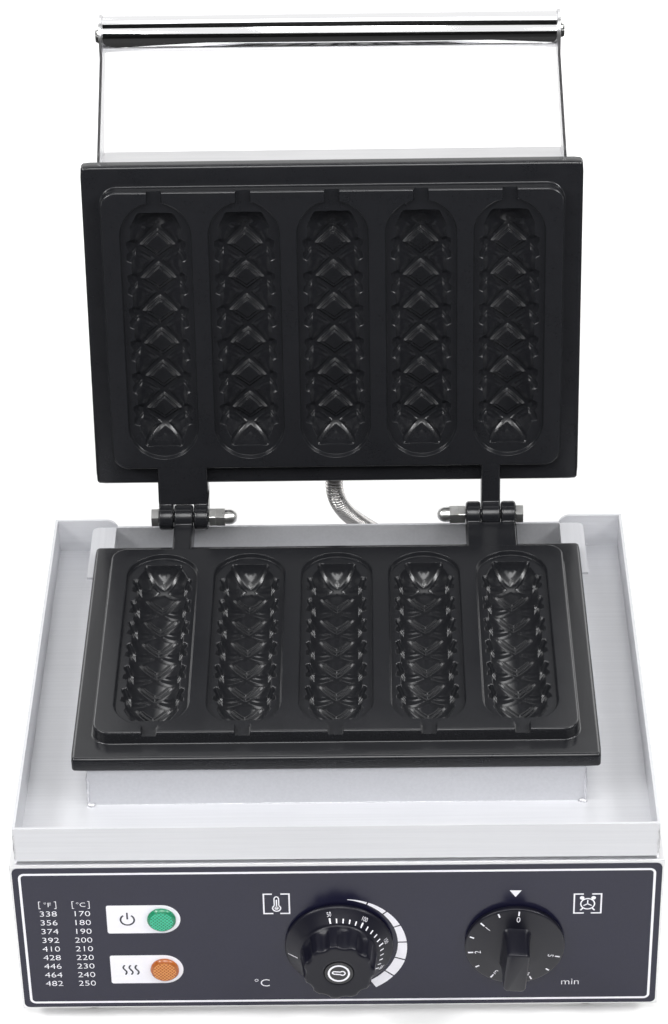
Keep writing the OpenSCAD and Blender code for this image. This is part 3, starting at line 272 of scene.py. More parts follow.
class Ink:
    def __init__(self):
        self.points, self.faces = [], []

    def patch(self, outline):
        start = len(self.points)
        self.points += [tuple(p) for p in outline]
        self.faces.append(range(start, len(self.points)))

    def stroke(self, path, width, closed=False):
        path = [Vector(p) for p in path]
        count = len(path)
        start = len(self.points)
        for i, p in enumerate(path):
            before = path[i - 1] if (i or closed) else p
            after = path[(i + 1) % count] if (i < count - 1 or closed) else p
            a = (p - before).normalized() if (p - before).length else (after - p).normalized()
            b = (after - p).normalized() if (after - p).length else a
            side = Vector((-(a + b).y, (a + b).x)).normalized()
            reach = width / 2 / max(0.4, side.dot(Vector((-a.y, a.x))))
            self.points += [tuple(p + side * reach), tuple(p - side * reach)]
        for i in range(count if closed else count - 1):
            a, b = start + 2 * i, start + 2 * ((i + 1) % count)
            self.faces.append((a, b, b + 1, a + 1))

    def ring(self, x, y, radius, width, start=0, end=360, steps=40):
        whole = end - start >= 360
        turns = [math.radians(start + (end - start) * i / steps) for i in range(steps if whole else steps + 1)]
        self.stroke([(x + radius * math.cos(t), y + radius * math.sin(t)) for t in turns], width, whole)

    def dot(self, x, y, radius):
        turns = [k * math.pi / 12 for k in range(24)]
        self.patch([(x + radius * math.cos(t), y + radius * math.sin(t)) for t in turns])

    def letters(self, text, x, y, height, wide=1.0, place=None):
        curve = bpy.data.curves.new("letters", "FONT")
        curve.body = text
        curve.size = height / 0.7
        curve.offset = -0.016 * height
        curve.align_x = "CENTER"
        curve.align_y = "CENTER"
        curve.resolution_u = 3
        maker = bpy.data.objects.new("letters", curve)
        scene.collection.objects.link(maker)
        bpy.context.view_layer.update()
        mesh = bpy.data.meshes.new_from_object(maker)
        start = len(self.points)
        for corner in mesh.vertices:
            a, b = corner.co.x * wide, corner.co.y
            self.points.append(place(a, b) if place else (x + a, y + b))
        self.faces += [[start + k for k in face.vertices] for face in mesh.polygons]
        bpy.data.objects.remove(maker)
        bpy.data.meshes.remove(mesh)
        bpy.data.curves.remove(curve)

    def piece(self, name, finish, lay, body, slot="printed_film"):
        printed = make_mesh(name, [lay(*p) for p in self.points], self.faces, finish, smooth=False)
        skin = printed.modifiers.new("ink_layer", "SOLIDIFY")
        skin.thickness = 0.00006
        skin.offset = 0
        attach(printed, body)


def on_film(x, z):
    return (x / 1000, film_front - 0.00004, z / 1000)


def round_outline(x0, z0, x1, z1, corners, steps=8):
    outline = []
    for (x, z, turn), r in zip(((x1, z0, -90), (x1, z1, 0), (x0, z1, 90), (x0, z0, 180)), corners):
        cx, cz = x + (-r if x == x1 else r), z + (-r if z == z1 else r)
        for k in range(steps + 1):
            t = math.radians(turn + 90 * k / steps)
            outline.append((cx + r * math.cos(t), cz + r * math.sin(t)))
    return outline


panel_print = Ink()
panel_print.stroke(round_outline(-165.2, 14.4, 165.2, 105.1, (2.6, 2.6, 2.6, 2.6)), 1.3, True)
fahrenheit_x, celsius_x = -151.9, -134.4
first_row, row_step = 77.6, 6.2
for column, heading in ((fahrenheit_x, "°F"), (celsius_x, "°C")):
    panel_print.letters(heading, column, 83.9, 3.0, 1.15)
    for s in (-1, 1):
        inner, outer = column + s * 3.6, column + s * 4.5
        panel_print.stroke([(inner, 86.3), (outer, 86.3), (outer, 81.5), (inner, 81.5)], 0.35)
for row in range(9):
    celsius = 170 + 10 * row
    z = first_row - row * row_step
    panel_print.letters(str(round(celsius * 1.8 + 32)), fahrenheit_x, z, 3.7, 1.22)
    panel_print.letters(str(celsius), celsius_x, z, 3.7, 1.22)
for z0, z1 in ((63.7, 83.2), (27.9, 47.9)):
    r = (z1 - z0) / 2 - 0.01
    panel_print.patch(round_outline(-121.3, z0, -82.6, z1, (r, r, 1.2, 1.2), 14))
for x0, z0, x1, z1 in ((-38.5, 76.7, -25.1, 90.2), (123.9, 75.1, 138.0, 88.3)):
    gap = (x0 + x1) / 2
    panel_print.stroke([(gap - 2.2, z1), (x0, z1), (x0, z0), (gap - 1.8, z0)], 0.8)
    panel_print.stroke([(gap + 2.2, z1), (x1, z1), (x1, z0), (gap + 1.8, z0)], 0.8)
bulb_x, bulb_z = -31.8, 80.4
panel_print.ring(bulb_x, bulb_z, 2.1, 0.7, -235, 55, 28)
panel_print.dot(bulb_x, bulb_z, 1.1)
panel_print.stroke([(bulb_x - 1.2, 82.2), (bulb_x - 1.2, 87.0), (bulb_x - 0.8, 88.0), (bulb_x, 88.4),
                    (bulb_x + 0.8, 88.0), (bulb_x + 1.2, 87.0), (bulb_x + 1.2, 82.2)], 0.6)
panel_print.stroke([(bulb_x, bulb_z), (bulb_x, 86.2)], 0.7)
clock_x, clock_z = 130.95, 81.5
panel_print.ring(clock_x, clock_z, 3.6, 0.7, 0, 360, 36)
for s in (-1, 1):
    panel_print.dot(clock_x + s * 3.0, 85.6, 1.2)
    panel_print.stroke([(clock_x + s * 2.4, 78.6), (clock_x + s * 3.7, 77.0)], 0.8)
panel_print.stroke([(clock_x, clock_z), (clock_x, 84.1)], 0.6)
for s in (-1, 1):
    panel_print.stroke([(clock_x, clock_z), (clock_x + s * 2.1, 80.3)], 0.6)
panel_print.letters("°C", -41.0, 27.0, 5.2, 1.1)
panel_print.letters("min", 123.2, 26.2, 4.4, 1.1)
panel_print.patch([(90.1, 91.3), (93.2, 86.7), (96.3, 91.2)])
thermostat_x, knob_z = 0.5, 55
scale_start, scale_span, scale_steps, scale_r = 81.8, 141, 7, 31.1
for step in range(scale_steps):
    outline = []
    for far in (False, True):
        turns = [scale_start - scale_span * (step + 0.035 + 0.93 * k / 8) / scale_steps for k in range(9)]
        for turn in (reversed(turns) if far else turns):
            grown = max(0.0, (scale_start - turn) / scale_span)
            r = scale_r + (0.25 + 5.6 * min(1.0, grown * 1.35) ** 0.9 if far else 0)
            a = math.radians(turn)
            outline.append((thermostat_x + r * math.cos(a), knob_z + r * math.sin(a)))
    panel_print.patch(outline)
panel_print.piece("panel_print", white_ink, on_film, "base")

tab_print = Ink()
sign_x = -110.5
tab_print.ring(sign_x, 73.2, 3.6, 0.9, 125, 415, 30)
tab_print.stroke([(sign_x, 73.6), (sign_x, 78.2)], 0.9)
for k in (-1, 0, 1):
    wave_x = sign_x + 3.2 * k
    tab_print.stroke([(wave_x + 0.9 * math.sin(t * 0.7), 34.2 + t * 0.75) for t in range(10)], 0.9)


def on_tab(x, z):
    return (x / 1000, film_front - 0.0001, z / 1000)


tab_print.piece("tab_print", dark_ink, on_tab, "base")

# The feet: four moulded black rubber feet, each held by a screw and nut through the bottom
# cover, with the cover's own screws beside them.
rubber = surface("black_rubber", ((0.012, 0.012, 0.012), (0.022, 0.022, 0.022)), (0.6, 0.75),
                 (1200, 1200, 1200), bump=0.00004)
dress(rubber, 0.001, "feet")
zinc = surface("zinc_plate", ((0.66, 0.66, 0.65), (0.76, 0.76, 0.75)), (0.16, 0.28), (700, 700, 700),
               bump=0.000008, metal=1.0, blotch=120.0)
dress(zinc, 0.0003, "bottom_screws", "foot_screws", "foot_nuts")

# The drip tray: one stainless sheet with its rim folded up at the front and the sides, and in
# two round-cornered wings at the rear, and welded at the corners. Nuts below the floor hold it.
satin_steel = surface("satin_steel", ((0.61, 0.615, 0.64), (0.68, 0.685, 0.71)), (0.34, 0.44), (14, 700, 700),
                      bump=0.000004, metal=0.3, blotch=16.0)
dress(satin_steel, 0.0005, "drip_tray")
dress(zinc, 0.0003, "tray_nuts")

# The plate riser: a welded stainless box on the tray floor that carries the lower plate,
# with a low rear wall and a flat ear at each rear corner. Its welds and the tray's were left
# as they cooled.
# The riser's steel is painted darker than the tray's satin steel, as painted shade; its brushing runs the
# other way.
riser_steel_shaded = surface("riser_steel_shaded", ((0.52, 0.525, 0.55), (0.59, 0.595, 0.62)), (0.36, 0.46), (700, 14, 700),
                      bump=0.000004, metal=0.4, blotch=20.0)
dress(riser_steel_shaded, 0.0006, "plate_riser")
dress(zinc, 0.0003, "plate_screws")
riser_low, riser_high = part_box("plate_riser")
weld_skin = surface("weld_bead", ((0.5, 0.5, 0.52), (0.72, 0.72, 0.74)), (0.3, 0.5), (900, 900, 900),
                    bump=0.00006, metal=1.0, blotch=300.0)


def weld_bead(name, start, end, thick, ripples):
    start, end = Vector(start), Vector(end)
    along = (end - start).normalized()
    side = along.orthogonal().normalized()
    other = along.cross(side)
    rows, ring = ripples * 4, 10
    points = []
    for i in range(rows + 1):
        t = i / rows
        swell = math.sin(math.pi * t) ** 0.35 if 0 < t < 1 else 0.0
        r = thick * swell * (0.86 + 0.14 * abs(math.sin(math.pi * t * ripples)))
        wander = thick * 0.18 * math.sin(7.3 * t * ripples / 3)
        middle = start + (end - start) * t + side * wander
        for k in range(ring):
            a = 2 * math.pi * k / ring
            points.append(middle + side * r * math.cos(a) + other * r * math.sin(a))
    faces = [(i * ring + k, i * ring + (k + 1) % ring, (i + 1) * ring + (k + 1) % ring, (i + 1) * ring + k)
             for i in range(rows) for k in range(ring)]
    bead = make_mesh(name, points, faces, weld_skin)
    close = bead.modifiers.new("close_ends", "WELD")
    close.merge_threshold = 0.000001
    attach(bead, "base")


wall_x, front_y, foot_z = riser_high.x - 0.0122, riser_low.y, riser_low.z
for side, s in (("left", -1), ("right", 1)):
    weld_bead(f"riser_corner_weld_{side}", (s * wall_x, front_y, foot_z + 0.0005),
              (s * wall_x, front_y, foot_z + 0.0225), 0.0009, 9)
    weld_bead(f"riser_foot_weld_{side}", (s * (wall_x + 0.0012), front_y - 0.0008, foot_z),
              (s * (wall_x - 0.0035), front_y - 0.0002, foot_z + 0.0002), 0.0017, 3)
weld_bead("riser_front_weld", (-wall_x, front_y, foot_z), (wall_x, front_y, foot_z), 0.00045, 60)
tray_low, tray_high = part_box("drip_tray")
corner_in = 0.9968
for name, x, y in (("front_left", tray_low.x, tray_low.y), ("front_right", tray_high.x, tray_low.y),
                   ("rear_left", tray_low.x, tray_high.y), ("rear_right", tray_high.x, tray_high.y)):
    weld_bead(f"tray_weld_{name}", (x * corner_in, y * corner_in, tray_low.z + 0.002),
              (x * corner_in, y * corner_in, tray_high.z - 0.0006), 0.0008, 9)
wing_y, wing_z = tray_high.y - 0.0017, tray_low.z + 0.0016
for side, s in (("left", -1), ("right", 1)):
    weld_bead(f"wing_weld_{side}", (s * (tray_high.x - 0.0016), wing_y, wing_z),
              (s * (riser_high.x + 0.0008), wing_y, wing_z), 0.0005, 16)

# The lower plate: an aluminium casting with five lattice troughs, a stick channel at the
# handle end of each and hinge lugs at the rear, sprayed with black non-stick coating.
coating = surface("nonstick_coating", ((0.011, 0.0115, 0.0135), (0.015, 0.0155, 0.018)), (0.18, 0.25),
                  (1100, 1100, 1100), bump=0.00002, detail=3.0, blotch=60.0, Specular_IOR_Level=0.46)
hinge = Vector(frame["joints"][0]["pos_m"])
plate_gap = 0.0003
plate_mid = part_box("lower_plate")[0].y + 0.097
plate_top = hinge.z - plate_gap / 2
troughs, trough_pitch, trough_len, trough_mid, trough_r = 5, 49.3, 143, 71.5, 17
taper_len, taper_r, end_depth = 14.5, 10.5, 3.2
rebate_r, rebate_depth, rebate_half, rebate_ends = 20.3, 2.6, 57.8, (13.7, 129.3)
channel_half, channel_fall = 4.4, 0.8
lattice_pitch, lattice_start, lattice_slope, lattice_lean = 20, 3, 0.84, 1.306


def ease(t):
    t = np.clip(t, 0, 1)
    return t * t * (3 - 2 * t)


def ramp(t):
    t = np.clip(t, 0, 1)
    return np.where(t < 0.2, t * t / 0.4, np.where(t > 0.8, 0.8 - (1 - t) ** 2 / 0.4, t - 0.1)) / 0.8


def slot_gap(dx, s):
    past = np.maximum(np.abs(s - trough_mid) - rebate_half, 0)
    return np.hypot(dx, past) - rebate_r


def channel(dx):
    return ease((channel_half - np.abs(dx)) / channel_fall)


def ledge(dx, s):
    return -rebate_depth * np.maximum(ease(-slot_gap(dx, s)), channel(dx) * (s < 0))


def hollow(dx, s):
    groove = np.full(np.shape(dx), 99.0)
    for slant in (-lattice_slope, lattice_slope):
        along = np.mod(s + slant * dx - lattice_start, lattice_pitch)
        groove = np.minimum(groove, np.abs(along - lattice_pitch / 2) / lattice_lean)
    out = np.clip(np.abs(dx) / 15, 0, 1)
    end = np.minimum(s, trough_len - s)
    stepped = 0.55 * ramp((groove - 0.95) / 1.1) + 0.45 * ramp((groove - 2.95) / 0.8)
    smooth = ramp((groove - 0.95) / 2.8)
    plain = np.maximum(0.7 * out ** 3, ease((16 - end) / 5))
    pad = (stepped + plain * (smooth - stepped)) * ease((s - 9) / 4)
    pad_height = (2.1 + 0.5 * out ** 2) * (1 - 0.15 * ease((14 - end) / 5))
    wide = taper_r + (trough_r - taper_r) * np.clip(end / taper_len, 0, 1)
    round_end = np.sqrt(1 - (1 - np.clip(end / trough_r, 0, 1)) ** 2)
    deep = (end_depth + (trough_r - end_depth) * round_end) / wide
    r = wide - pad_height * pad
    return -deep * np.sqrt(np.maximum(r * r - dx * dx, 0)) * ease(end - 0.75 * pad + 0.3)


class Layout:
    def __init__(self):
        self.points, self.edges = [], []

    def line(self, track, closed=False):
        first = len(self.points)
        self.points.extend(track)
        self.edges.extend((first + k, first + k + 1) for k in range(len(track) - 1))
        if closed:
            self.edges.append((len(self.points) - 1, first))

    def triangles(self):
        made = delaunay_2d_cdt([Vector(p) for p in self.points], self.edges, [], 0, 1e-4, False)
        return np.array([tuple(v) for v in made[0]]), np.array(made[2])


def cut_along(flat, faces, level):
    inside = level(flat[:, 0], flat[:, 1]) < 0
    mixed = inside[faces].any(1) & ~inside[faces].all(1)
    sides = np.sort(np.concatenate([faces[mixed][:, k] for k in ([0, 1], [1, 2], [2, 0])]), 1)
    sides = np.unique(sides[inside[sides[:, 0]] != inside[sides[:, 1]]], axis=0)
    near, far = flat[sides[:, 0]], flat[sides[:, 1]]
    low, high = np.zeros(len(sides)), np.ones(len(sides))
    for _ in range(24):
        middle = (low + high) / 2
        p = near + (far - near) * middle[:, None]
        same = (level(p[:, 0], p[:, 1]) < 0) == inside[sides[:, 0]]
        low, high = np.where(same, middle, low), np.where(same, high, middle)
    crossing = {tuple(pair): len(flat) + k for k, pair in enumerate(sides.tolist())}
    split = []
    for face in faces[mixed].tolist():
        for k in range(3):
            a, b, c = face[k], face[k - 2], face[k - 1]
            if inside[a] != inside[b] and inside[a] != inside[c]:
                ab, ac = crossing[min(a, b), max(a, b)], crossing[min(a, c), max(a, c)]
                split += [(a, ab, ac), (ab, b, c), (ab, c, ac)]
    return np.concatenate([flat, near + (far - near) * low[:, None]]), np.concatenate([faces[~mixed], split])


channel_marks = [-4.4, -4.24, -4.0, -3.76, -3.6, 3.6, 3.76, 4.0, 4.24, 4.4]
tile_half, tile_low, tile_high, tile_shift = 24.65, -8.4, 151.6, 71.6
tile_x = np.array(sorted(channel_marks + [-tile_half, -20, -15, -10, -6.5, 0, 6.5, 10, 15, 20, tile_half]))
tile_s = np.linspace(tile_low, tile_high, 28)


def trough_tile():
    plan = Layout()
    plan.line([(x, tile_low) for x in tile_x[:-1]] + [(tile_half, s) for s in tile_s[:-1]]
              + [(x, tile_high) for x in tile_x[:0:-1]] + [(-tile_half, s) for s in tile_s[:0:-1]], True)
    turns, runs = np.linspace(0, math.pi, 57), np.linspace(*rebate_ends, 20)[1:-1]
    for gap in (0.3, 0.0, -0.15, -0.35, -0.65, -0.85, -1.0, -1.3):
        r = rebate_r + gap
        plan.line([(r * math.cos(t), rebate_ends[1] + r * math.sin(t)) for t in turns]
                  + [(-r, s) for s in runs[::-1]]
                  + [(-r * math.cos(t), rebate_ends[0] - r * math.sin(t)) for t in turns]
                  + [(r, s) for s in runs], True)
    for x in channel_marks:
        plan.line([(x, tile_low), (x, tile_low + 2), (x, -5.0)])
    for end in (-0.7, -0.35, -0.1, 0.2, 0.5, 0.75, 1.1, 1.5):
        for s in (end, trough_len - end):
            plan.line([(x, s) for x in np.linspace(-12, 12, 17)])
    steps = [lattice_lean * d for d in (0.6, 0.95, 1.17, 1.83, 2.05, 2.5, 2.95, 3.11, 3.59, 3.75, 4.1, 5.6)]
    steps = sorted([0.0, lattice_pitch / 2] + steps + [-u for u in steps])
    first = lattice_start + lattice_pitch / 2
    tracks = np.array([first + lattice_pitch * k + u for k in range(-2, 9) for u in steps])
    p, q = np.meshgrid(tracks, tracks, indexing="ij")
    s, dx = (p + q) / 2, (p - q) / (2 * lattice_slope)
    use = (np.abs(dx) < 17.7) & (s > 1.7) & (s < trough_len - 1.7) & (slot_gap(dx, s) < -1.5)
    number = np.full(p.shape, -1)
    number[use] = len(plan.points) + np.arange(use.sum())
    plan.points.extend(zip(dx[use].tolist(), s[use].tolist()))
    for one, two in ((number[:-1], number[1:]), (number[:, :-1], number[:, 1:])):
        both = (one >= 0) & (two >= 0)
        plan.edges.extend(zip(one[both].tolist(), two[both].tolist()))
    flat, faces = plan.triangles()
    for reach in (0.0, 0.35):
        flat, faces = cut_along(flat, faces, lambda dx, s: hollow(
            np.maximum(np.abs(dx) - reach, 0), s + reach * np.sign(trough_mid - s)) - ledge(dx, s))
    return flat, faces, np.minimum(ledge(*flat.T), hollow(*flat.T))


edge_x, edge_y = 137.3, 94.8
edge_marks = np.array([0.0, 0.4, 0.9, 1.3])
border_x = np.concatenate([edge_marks - edge_x, np.linspace(-132, 132, 34), edge_x - edge_marks[::-1]])
border_y = np.concatenate([edge_marks - edge_y, np.linspace(-88, 88, 23), edge_y - edge_marks[::-1]])
border = ([(x, -edge_y) for x in border_x[:-1]] + [(edge_x, y) for y in border_y[:-1]]
          + [(x, edge_y) for x in border_x[:0:-1]] + [(-edge_x, y) for y in border_y[:0:-1]])
plateau_x, plateau_y, plateau_r = 119.5, 75, 8
plateau_gap = [0.0, 0.35, 0.7, 0.95, 1.12, 1.2, 1.35, 1.5, 1.8, 2.2]
plateau_drop = [0.0, -0.06, -0.23, -0.48, -0.82, -1.2, -6.4, -6.9, -7.3, -7.5]
trough_x = [trough_pitch * (i - troughs // 2) for i in range(troughs)]


def plate_frame():
    plan = Layout()
    plan.line(border, True)
    inner_x = np.unique(np.round(np.concatenate([tile_x + x for x in trough_x]), 4))
    half_x, half_y = inner_x[-1], tile_high - tile_shift
    plan.line([(x, -half_y) for x in inner_x[:-1]] + [(half_x, s - tile_shift) for s in tile_s[:-1]]
              + [(x, half_y) for x in inner_x[:0:-1]]
              + [(-half_x, s - tile_shift) for s in tile_s[:0:-1]], True)
    for gap in [-0.4] + plateau_gap + [2.6]:
        track = []
        corners = ((plateau_x, plateau_y), (-plateau_x, plateau_y), (-plateau_x, -plateau_y),
                   (plateau_x, -plateau_y))
        for k, (x, y) in enumerate(corners):
            for turn in np.linspace(0, math.pi / 2, 11):
                turn += k * math.pi / 2
                track.append((x + (plateau_r + gap) * math.cos(turn), y + (plateau_r + gap) * math.sin(turn)))
        plan.line(track, True)
    for middle in trough_x:
        for x in channel_marks:
            plan.line([(x + middle, y) for y in (-half_y, -82.2, -84.6)])
    flat, faces = plan.triangles()
    centre = flat[faces].mean(1)
    faces = faces[(np.abs(centre[:, 0]) > half_x) | (np.abs(centre[:, 1]) > half_y)]
    x, y = flat.T
    qx, qy = np.abs(x) - plateau_x, np.abs(y) - plateau_y
    gap = np.hypot(np.maximum(qx, 0), np.maximum(qy, 0)) + np.minimum(np.maximum(qx, qy), 0) - plateau_r
    z = np.interp(gap, plateau_gap, plateau_drop)
    for middle in trough_x:
        z = np.where(y < -79, np.minimum(z, -rebate_depth * channel(x - middle)), z)
    return flat, faces, z


def casting_shape():
    flat, faces, z = plate_frame()
    points, all_faces = [np.column_stack([flat, z])], [faces]
    flat, faces, z = trough_tile()
    for middle in trough_x:
        all_faces.append(faces + sum(len(p) for p in points))
        points.append(np.column_stack([flat[:, 0] + middle, flat[:, 1] - tile_shift, z]))
    points, all_faces = np.concatenate(points), np.concatenate(all_faces)
    keys, first, again = np.unique(np.round(points[:, :2], 3), axis=0, return_index=True, return_inverse=True)
    points, all_faces = points[first], again.ravel()[all_faces]
    where = {tuple(key): k for k, key in enumerate(keys.tolist())}
    rows = [np.array([where[round(float(x), 3), round(float(y), 3)] for x, y in border])]
    faces = all_faces.tolist()
    rings = [points]
    for half_x, half_y, r, z in (
            (138.14, 95.64, 1.6, -7.67), (138.86, 96.36, 2.4, -8.14), (139.33, 96.83, 2.8, -8.86),
            (139.5, 97, 3, -9.7), (139.5, 97, 3, -14.9), (139.2, 96.7, 2.6, -15.4), (138.6, 96.1, 2, -15.5),
            (118.5, 77, 2, -15.5), (118.5, 77, 2, -27.0), (118, 76.5, 2, -27.5)):
        p = np.array(border) / [edge_x, edge_y] * [half_x, half_y]
        off = np.maximum(np.abs(p) - [half_x - r, half_y - r], 0)
        corner = (off > 0).all(1)
        pull = np.where(corner, r / np.maximum(np.hypot(*off.T), 1e-9), 1.0)[:, None]
        p = np.where(corner[:, None], np.sign(p) * ([half_x - r, half_y - r] + off * pull), p)
        rows.append(sum(len(ring) for ring in rings) + np.arange(len(border)))
        rings.append(np.column_stack([p, np.full(len(p), z)]))
    for upper, lower in zip(rows[:-1], rows[1:]):
        faces += np.stack([upper, lower, np.roll(lower, -1), np.roll(upper, -1)], -1).tolist()
    faces.append(rows[-1][::-1].tolist())
    points = np.concatenate(rings).tolist()

    def bar(x0, x1, profile):
        track = np.array(profile)
        ahead = np.roll(track, -1, 0) - track
        normal = np.column_stack([ahead[:, 1], -ahead[:, 0]]) / np.hypot(*ahead.T)[:, None]
        before = np.roll(normal, 1, 0)
        inward = (normal + before) / (1 + (normal * before).sum(1))[:, None]
        begin, count = len(points), len(track)
        for x, inset in ((x0, 1.5), (x0 + 0.45, 0.6), (x0 + 1.5, 0),
                         (x1 - 1.5, 0), (x1 - 0.45, 0.6), (x1, 1.5)):
            points.extend([x, y, z] for y, z in (track + inset * inward).tolist())
        faces.append([begin + k for k in range(count)])
        faces.append([begin + 5 * count + k for k in reversed(range(count))])
        for step in range(5):
            low = begin + step * count
            faces.extend([low + k, low + count + k, low + count + (k + 1) % count, low + (k + 1) % count]
                         for k in range(count))

    lug_x, pair_x, pin_y, pin_z, knuckle_r, under = 89, 10.125, 114.9, 0.15, 7.5, -15.5

    def knuckle(x, width, start, top):
        round_top = [(pin_y + knuckle_r * math.cos(t), pin_z + knuckle_r * math.sin(t))
                     for t in np.linspace(math.pi, 0, 25)]
        bar(x - width / 2, x + width / 2,
            [(start, top - 0.6), (start + 0.8, top), (105.6, top), (106.4, top + 0.05)] + round_top
            + [(122.4, -13.5), (121.8, -14.9), (120.4, under), (start, under + 0.1 + top)])

    knuckle(-lug_x, 11.0, 79.2, -0.05)
    for x in (lug_x - pair_x, lug_x + pair_x):
        knuckle(x, 8.55, 99.0, -0.3)
    bar(lug_x - 14.4, lug_x + 14.4, [(79.2, -0.65), (80.0, -0.05), (106.6, -0.05), (107.0, -0.2),
                                     (107.1, -0.6), (107.1, under), (79.2, under)])
    return np.array(points) / 1000, faces


casting_points, casting_faces = casting_shape()


def casting(name, place, body):
    plate = make_mesh(name, casting_points, casting_faces, coating)
    plate.data.transform(place)
    even = plate.modifiers.new("cast_edges", "WEIGHTED_NORMAL")
    even.mode = "FACE_AREA"
    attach(plate, body)
    return plate


lower_casting = casting("lower_casting", Matrix.Translation((0, plate_mid, plate_top)), "base")
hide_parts("lower_plate")

# The upper plate: the same casting turned over, so that its single lug meets the lower
# plate's pair. It hangs on the hinge bolts and stands open just past upright.
lid_open = math.radians(frame["joints"][0]["range_deg"][1])
to_open = Matrix.Translation(hinge) @ Matrix.Rotation(-lid_open, 4, "X") @ Matrix.Translation(-hinge)
turned_over = Matrix.Translation((0, plate_mid, plate_top + plate_gap)) @ Matrix.Rotation(math.pi, 4, "Y")
upper_casting = casting("upper_casting", to_open @ turned_over, "lid")
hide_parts("upper_plate")

# The hinge fasteners: a hexagon bolt through each pair of lugs, a plain nut and an acorn
# nut, turned from steel and bright nickel plated.
nickel = surface("nickel_plate", ((0.9, 0.9, 0.88), (0.95, 0.95, 0.93)), (0.26, 0.34), (200, 200, 200),
                 metal=1.0, blotch=150.0)
dress(nickel, 0.0004, "hinge_bolts", "hinge_nuts", "acorn_nuts")

# The heaters: a sheathed element pressed on the back of each plate by a steel sheet, with a
# mineral wool pad behind it and four screws.
sheath = surface("element_sheath", ((0.16, 0.15, 0.14), (0.26, 0.25, 0.23)), (0.4, 0.55), (700, 700, 700),
                 bump=0.00002, metal=1.0)
dress(sheath, 0, "lower_heater", "upper_heater")
dress(satin_steel, 0, "lower_clamp", "upper_clamp")
wool = surface("mineral_wool", ((0.62, 0.58, 0.46), (0.78, 0.74, 0.62)), (0.85, 0.95), (900, 160, 900),
               bump=0.0004, Specular_IOR_Level=0.1)
dress(wool, 0, "lower_insulation", "upper_insulation")
dress(zinc, 0, "lower_clamp_screws", "upper_clamp_screws")

# The upper cover: a folded stainless pan over the back of the upper plate, held by screws
# in four brass posts.
dress(brushed_steel, 0, "upper_cover")
brass = surface("brass", ((0.5, 0.36, 0.12), (0.66, 0.5, 0.2)), (0.25, 0.4), (500, 500, 500), metal=1.0)
dress(brass, 0, "cover_posts")
dress(zinc, 0.0003, "cover_screws")

# The handle: two bent flat steel arms screwed to the sides of the cover, and a chromed tube
# held between them by a pan-head screw in the threaded plug at each end.
dress(brushed_steel, 0, "left_arm", "right_arm")
dress(zinc, 0.0003, "arm_screws", "arm_nuts", "handle_screws", "handle_plugs")
chrome = surface("chrome_plate", ((0.86, 0.86, 0.87), (0.9, 0.9, 0.91)), (0.04, 0.07), (60, 900, 900),
                 metal=1.0)
dress(chrome, 0.0005, "handle_tube")

# The lid's lead: a flexible conduit wound from steel strip, from a gland in the rear wall of
# the cover to one in the rear wall of the housing.
strip = surface("conduit_strip", ((0.4, 0.39, 0.38), (0.5, 0.49, 0.48)), (0.2, 0.28), (160, 160, 160),
                metal=1.0, blotch=90.0)
strip_pitch, strip_r, strip_groove, gland_reach, ring = 2.1, 5.25, 1.5, 11, 28
rear_shift = panel_y * 1000
lead_top = np.array([-2, 296.66 + rear_shift, 159.89])
lead_low = np.array([44, 296 + rear_shift, 66])
top_way, low_way = np.array([0, -0.15643, -0.98769]), np.array([0, 1, 0])
bend = [lead_top + gland_reach * top_way, lead_top + 45 * top_way,
        lead_low + 75 * low_way, lead_low + gland_reach * low_way]
t = np.linspace(0, 1, 400)[:, None]
curve = ((1 - t) ** 3 * bend[0] + 3 * (1 - t) ** 2 * t * bend[1]
         + 3 * (1 - t) * t ** 2 * bend[2] + t ** 3 * bend[3])
route = np.concatenate([[lead_top], curve, [lead_low]])
run = np.concatenate([[0], np.cumsum(np.linalg.norm(np.diff(route, axis=0), axis=1))])
rows = int(run[-1] / strip_pitch * 10)
spots = np.linspace(0, run[-1], rows + 1)
path = np.stack([np.interp(spots, run, route[:, k]) for k in range(3)], 1)
tangent = np.gradient(path, axis=0)
tangent /= np.linalg.norm(tangent, axis=1)[:, None]
side = np.array([1.0, 0, 0])
lead_points = []
for i in range(rows + 1):
    side = side - tangent[i] * side.dot(tangent[i])
    side /= np.linalg.norm(side)
    other = np.cross(tangent[i], side)
    for k in range(ring):
        a = 2 * math.pi * k / ring
        phase = (spots[i] / strip_pitch + k / ring) % 1
        r = strip_r - strip_groove * (abs(phase - 0.5) / 0.5) ** 2.6
        lead_points.append((path[i] + (side * math.cos(a) + other * math.sin(a)) * r) / 1000)
lead_faces = [(i * ring + k, i * ring + (k + 1) % ring, (i + 1) * ring + (k + 1) % ring, (i + 1) * ring + k)
              for i in range(rows) for k in range(ring)]
lead_faces += [tuple(reversed(range(ring))), tuple(rows * ring + k for k in range(ring))]
conduit = make_mesh("wound_conduit", lead_points, lead_faces, strip)
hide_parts("lead_conduit")
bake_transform(conduit)
dress(zinc, 0.0005, "base_lead_gland", "lid_lead_gland", "gland_nuts", "lid_gland_nut")

# The power gland: a moulded black gland for the mains lead in the rear wall, with its lock
# nut inside.
moulded = surface("moulded_plastic", ((0.014, 0.014, 0.016), (0.022, 0.022, 0.025)), (0.34, 0.46),
                  (1300, 1300, 1300), bump=0.00003)
dress(moulded, 0.0006, "power_gland")

# The works in the housing: thermostat with its bulb and capillary, timer, their shafts and
# screws, and the terminal block for the wires.
dress(zinc, 0, "thermostat_bulb", "control_screws", "thermostat_shaft", "timer_shaft", "lamp_nuts")
dress(moulded, 0.0005, "thermostat_body", "timer_body")
pale = surface("pale_plastic", ((0.62, 0.6, 0.54), (0.7, 0.68, 0.62)), (0.4, 0.5), (900, 900, 900),
               bump=0.00002)
dress(pale, 0, "terminal_block")

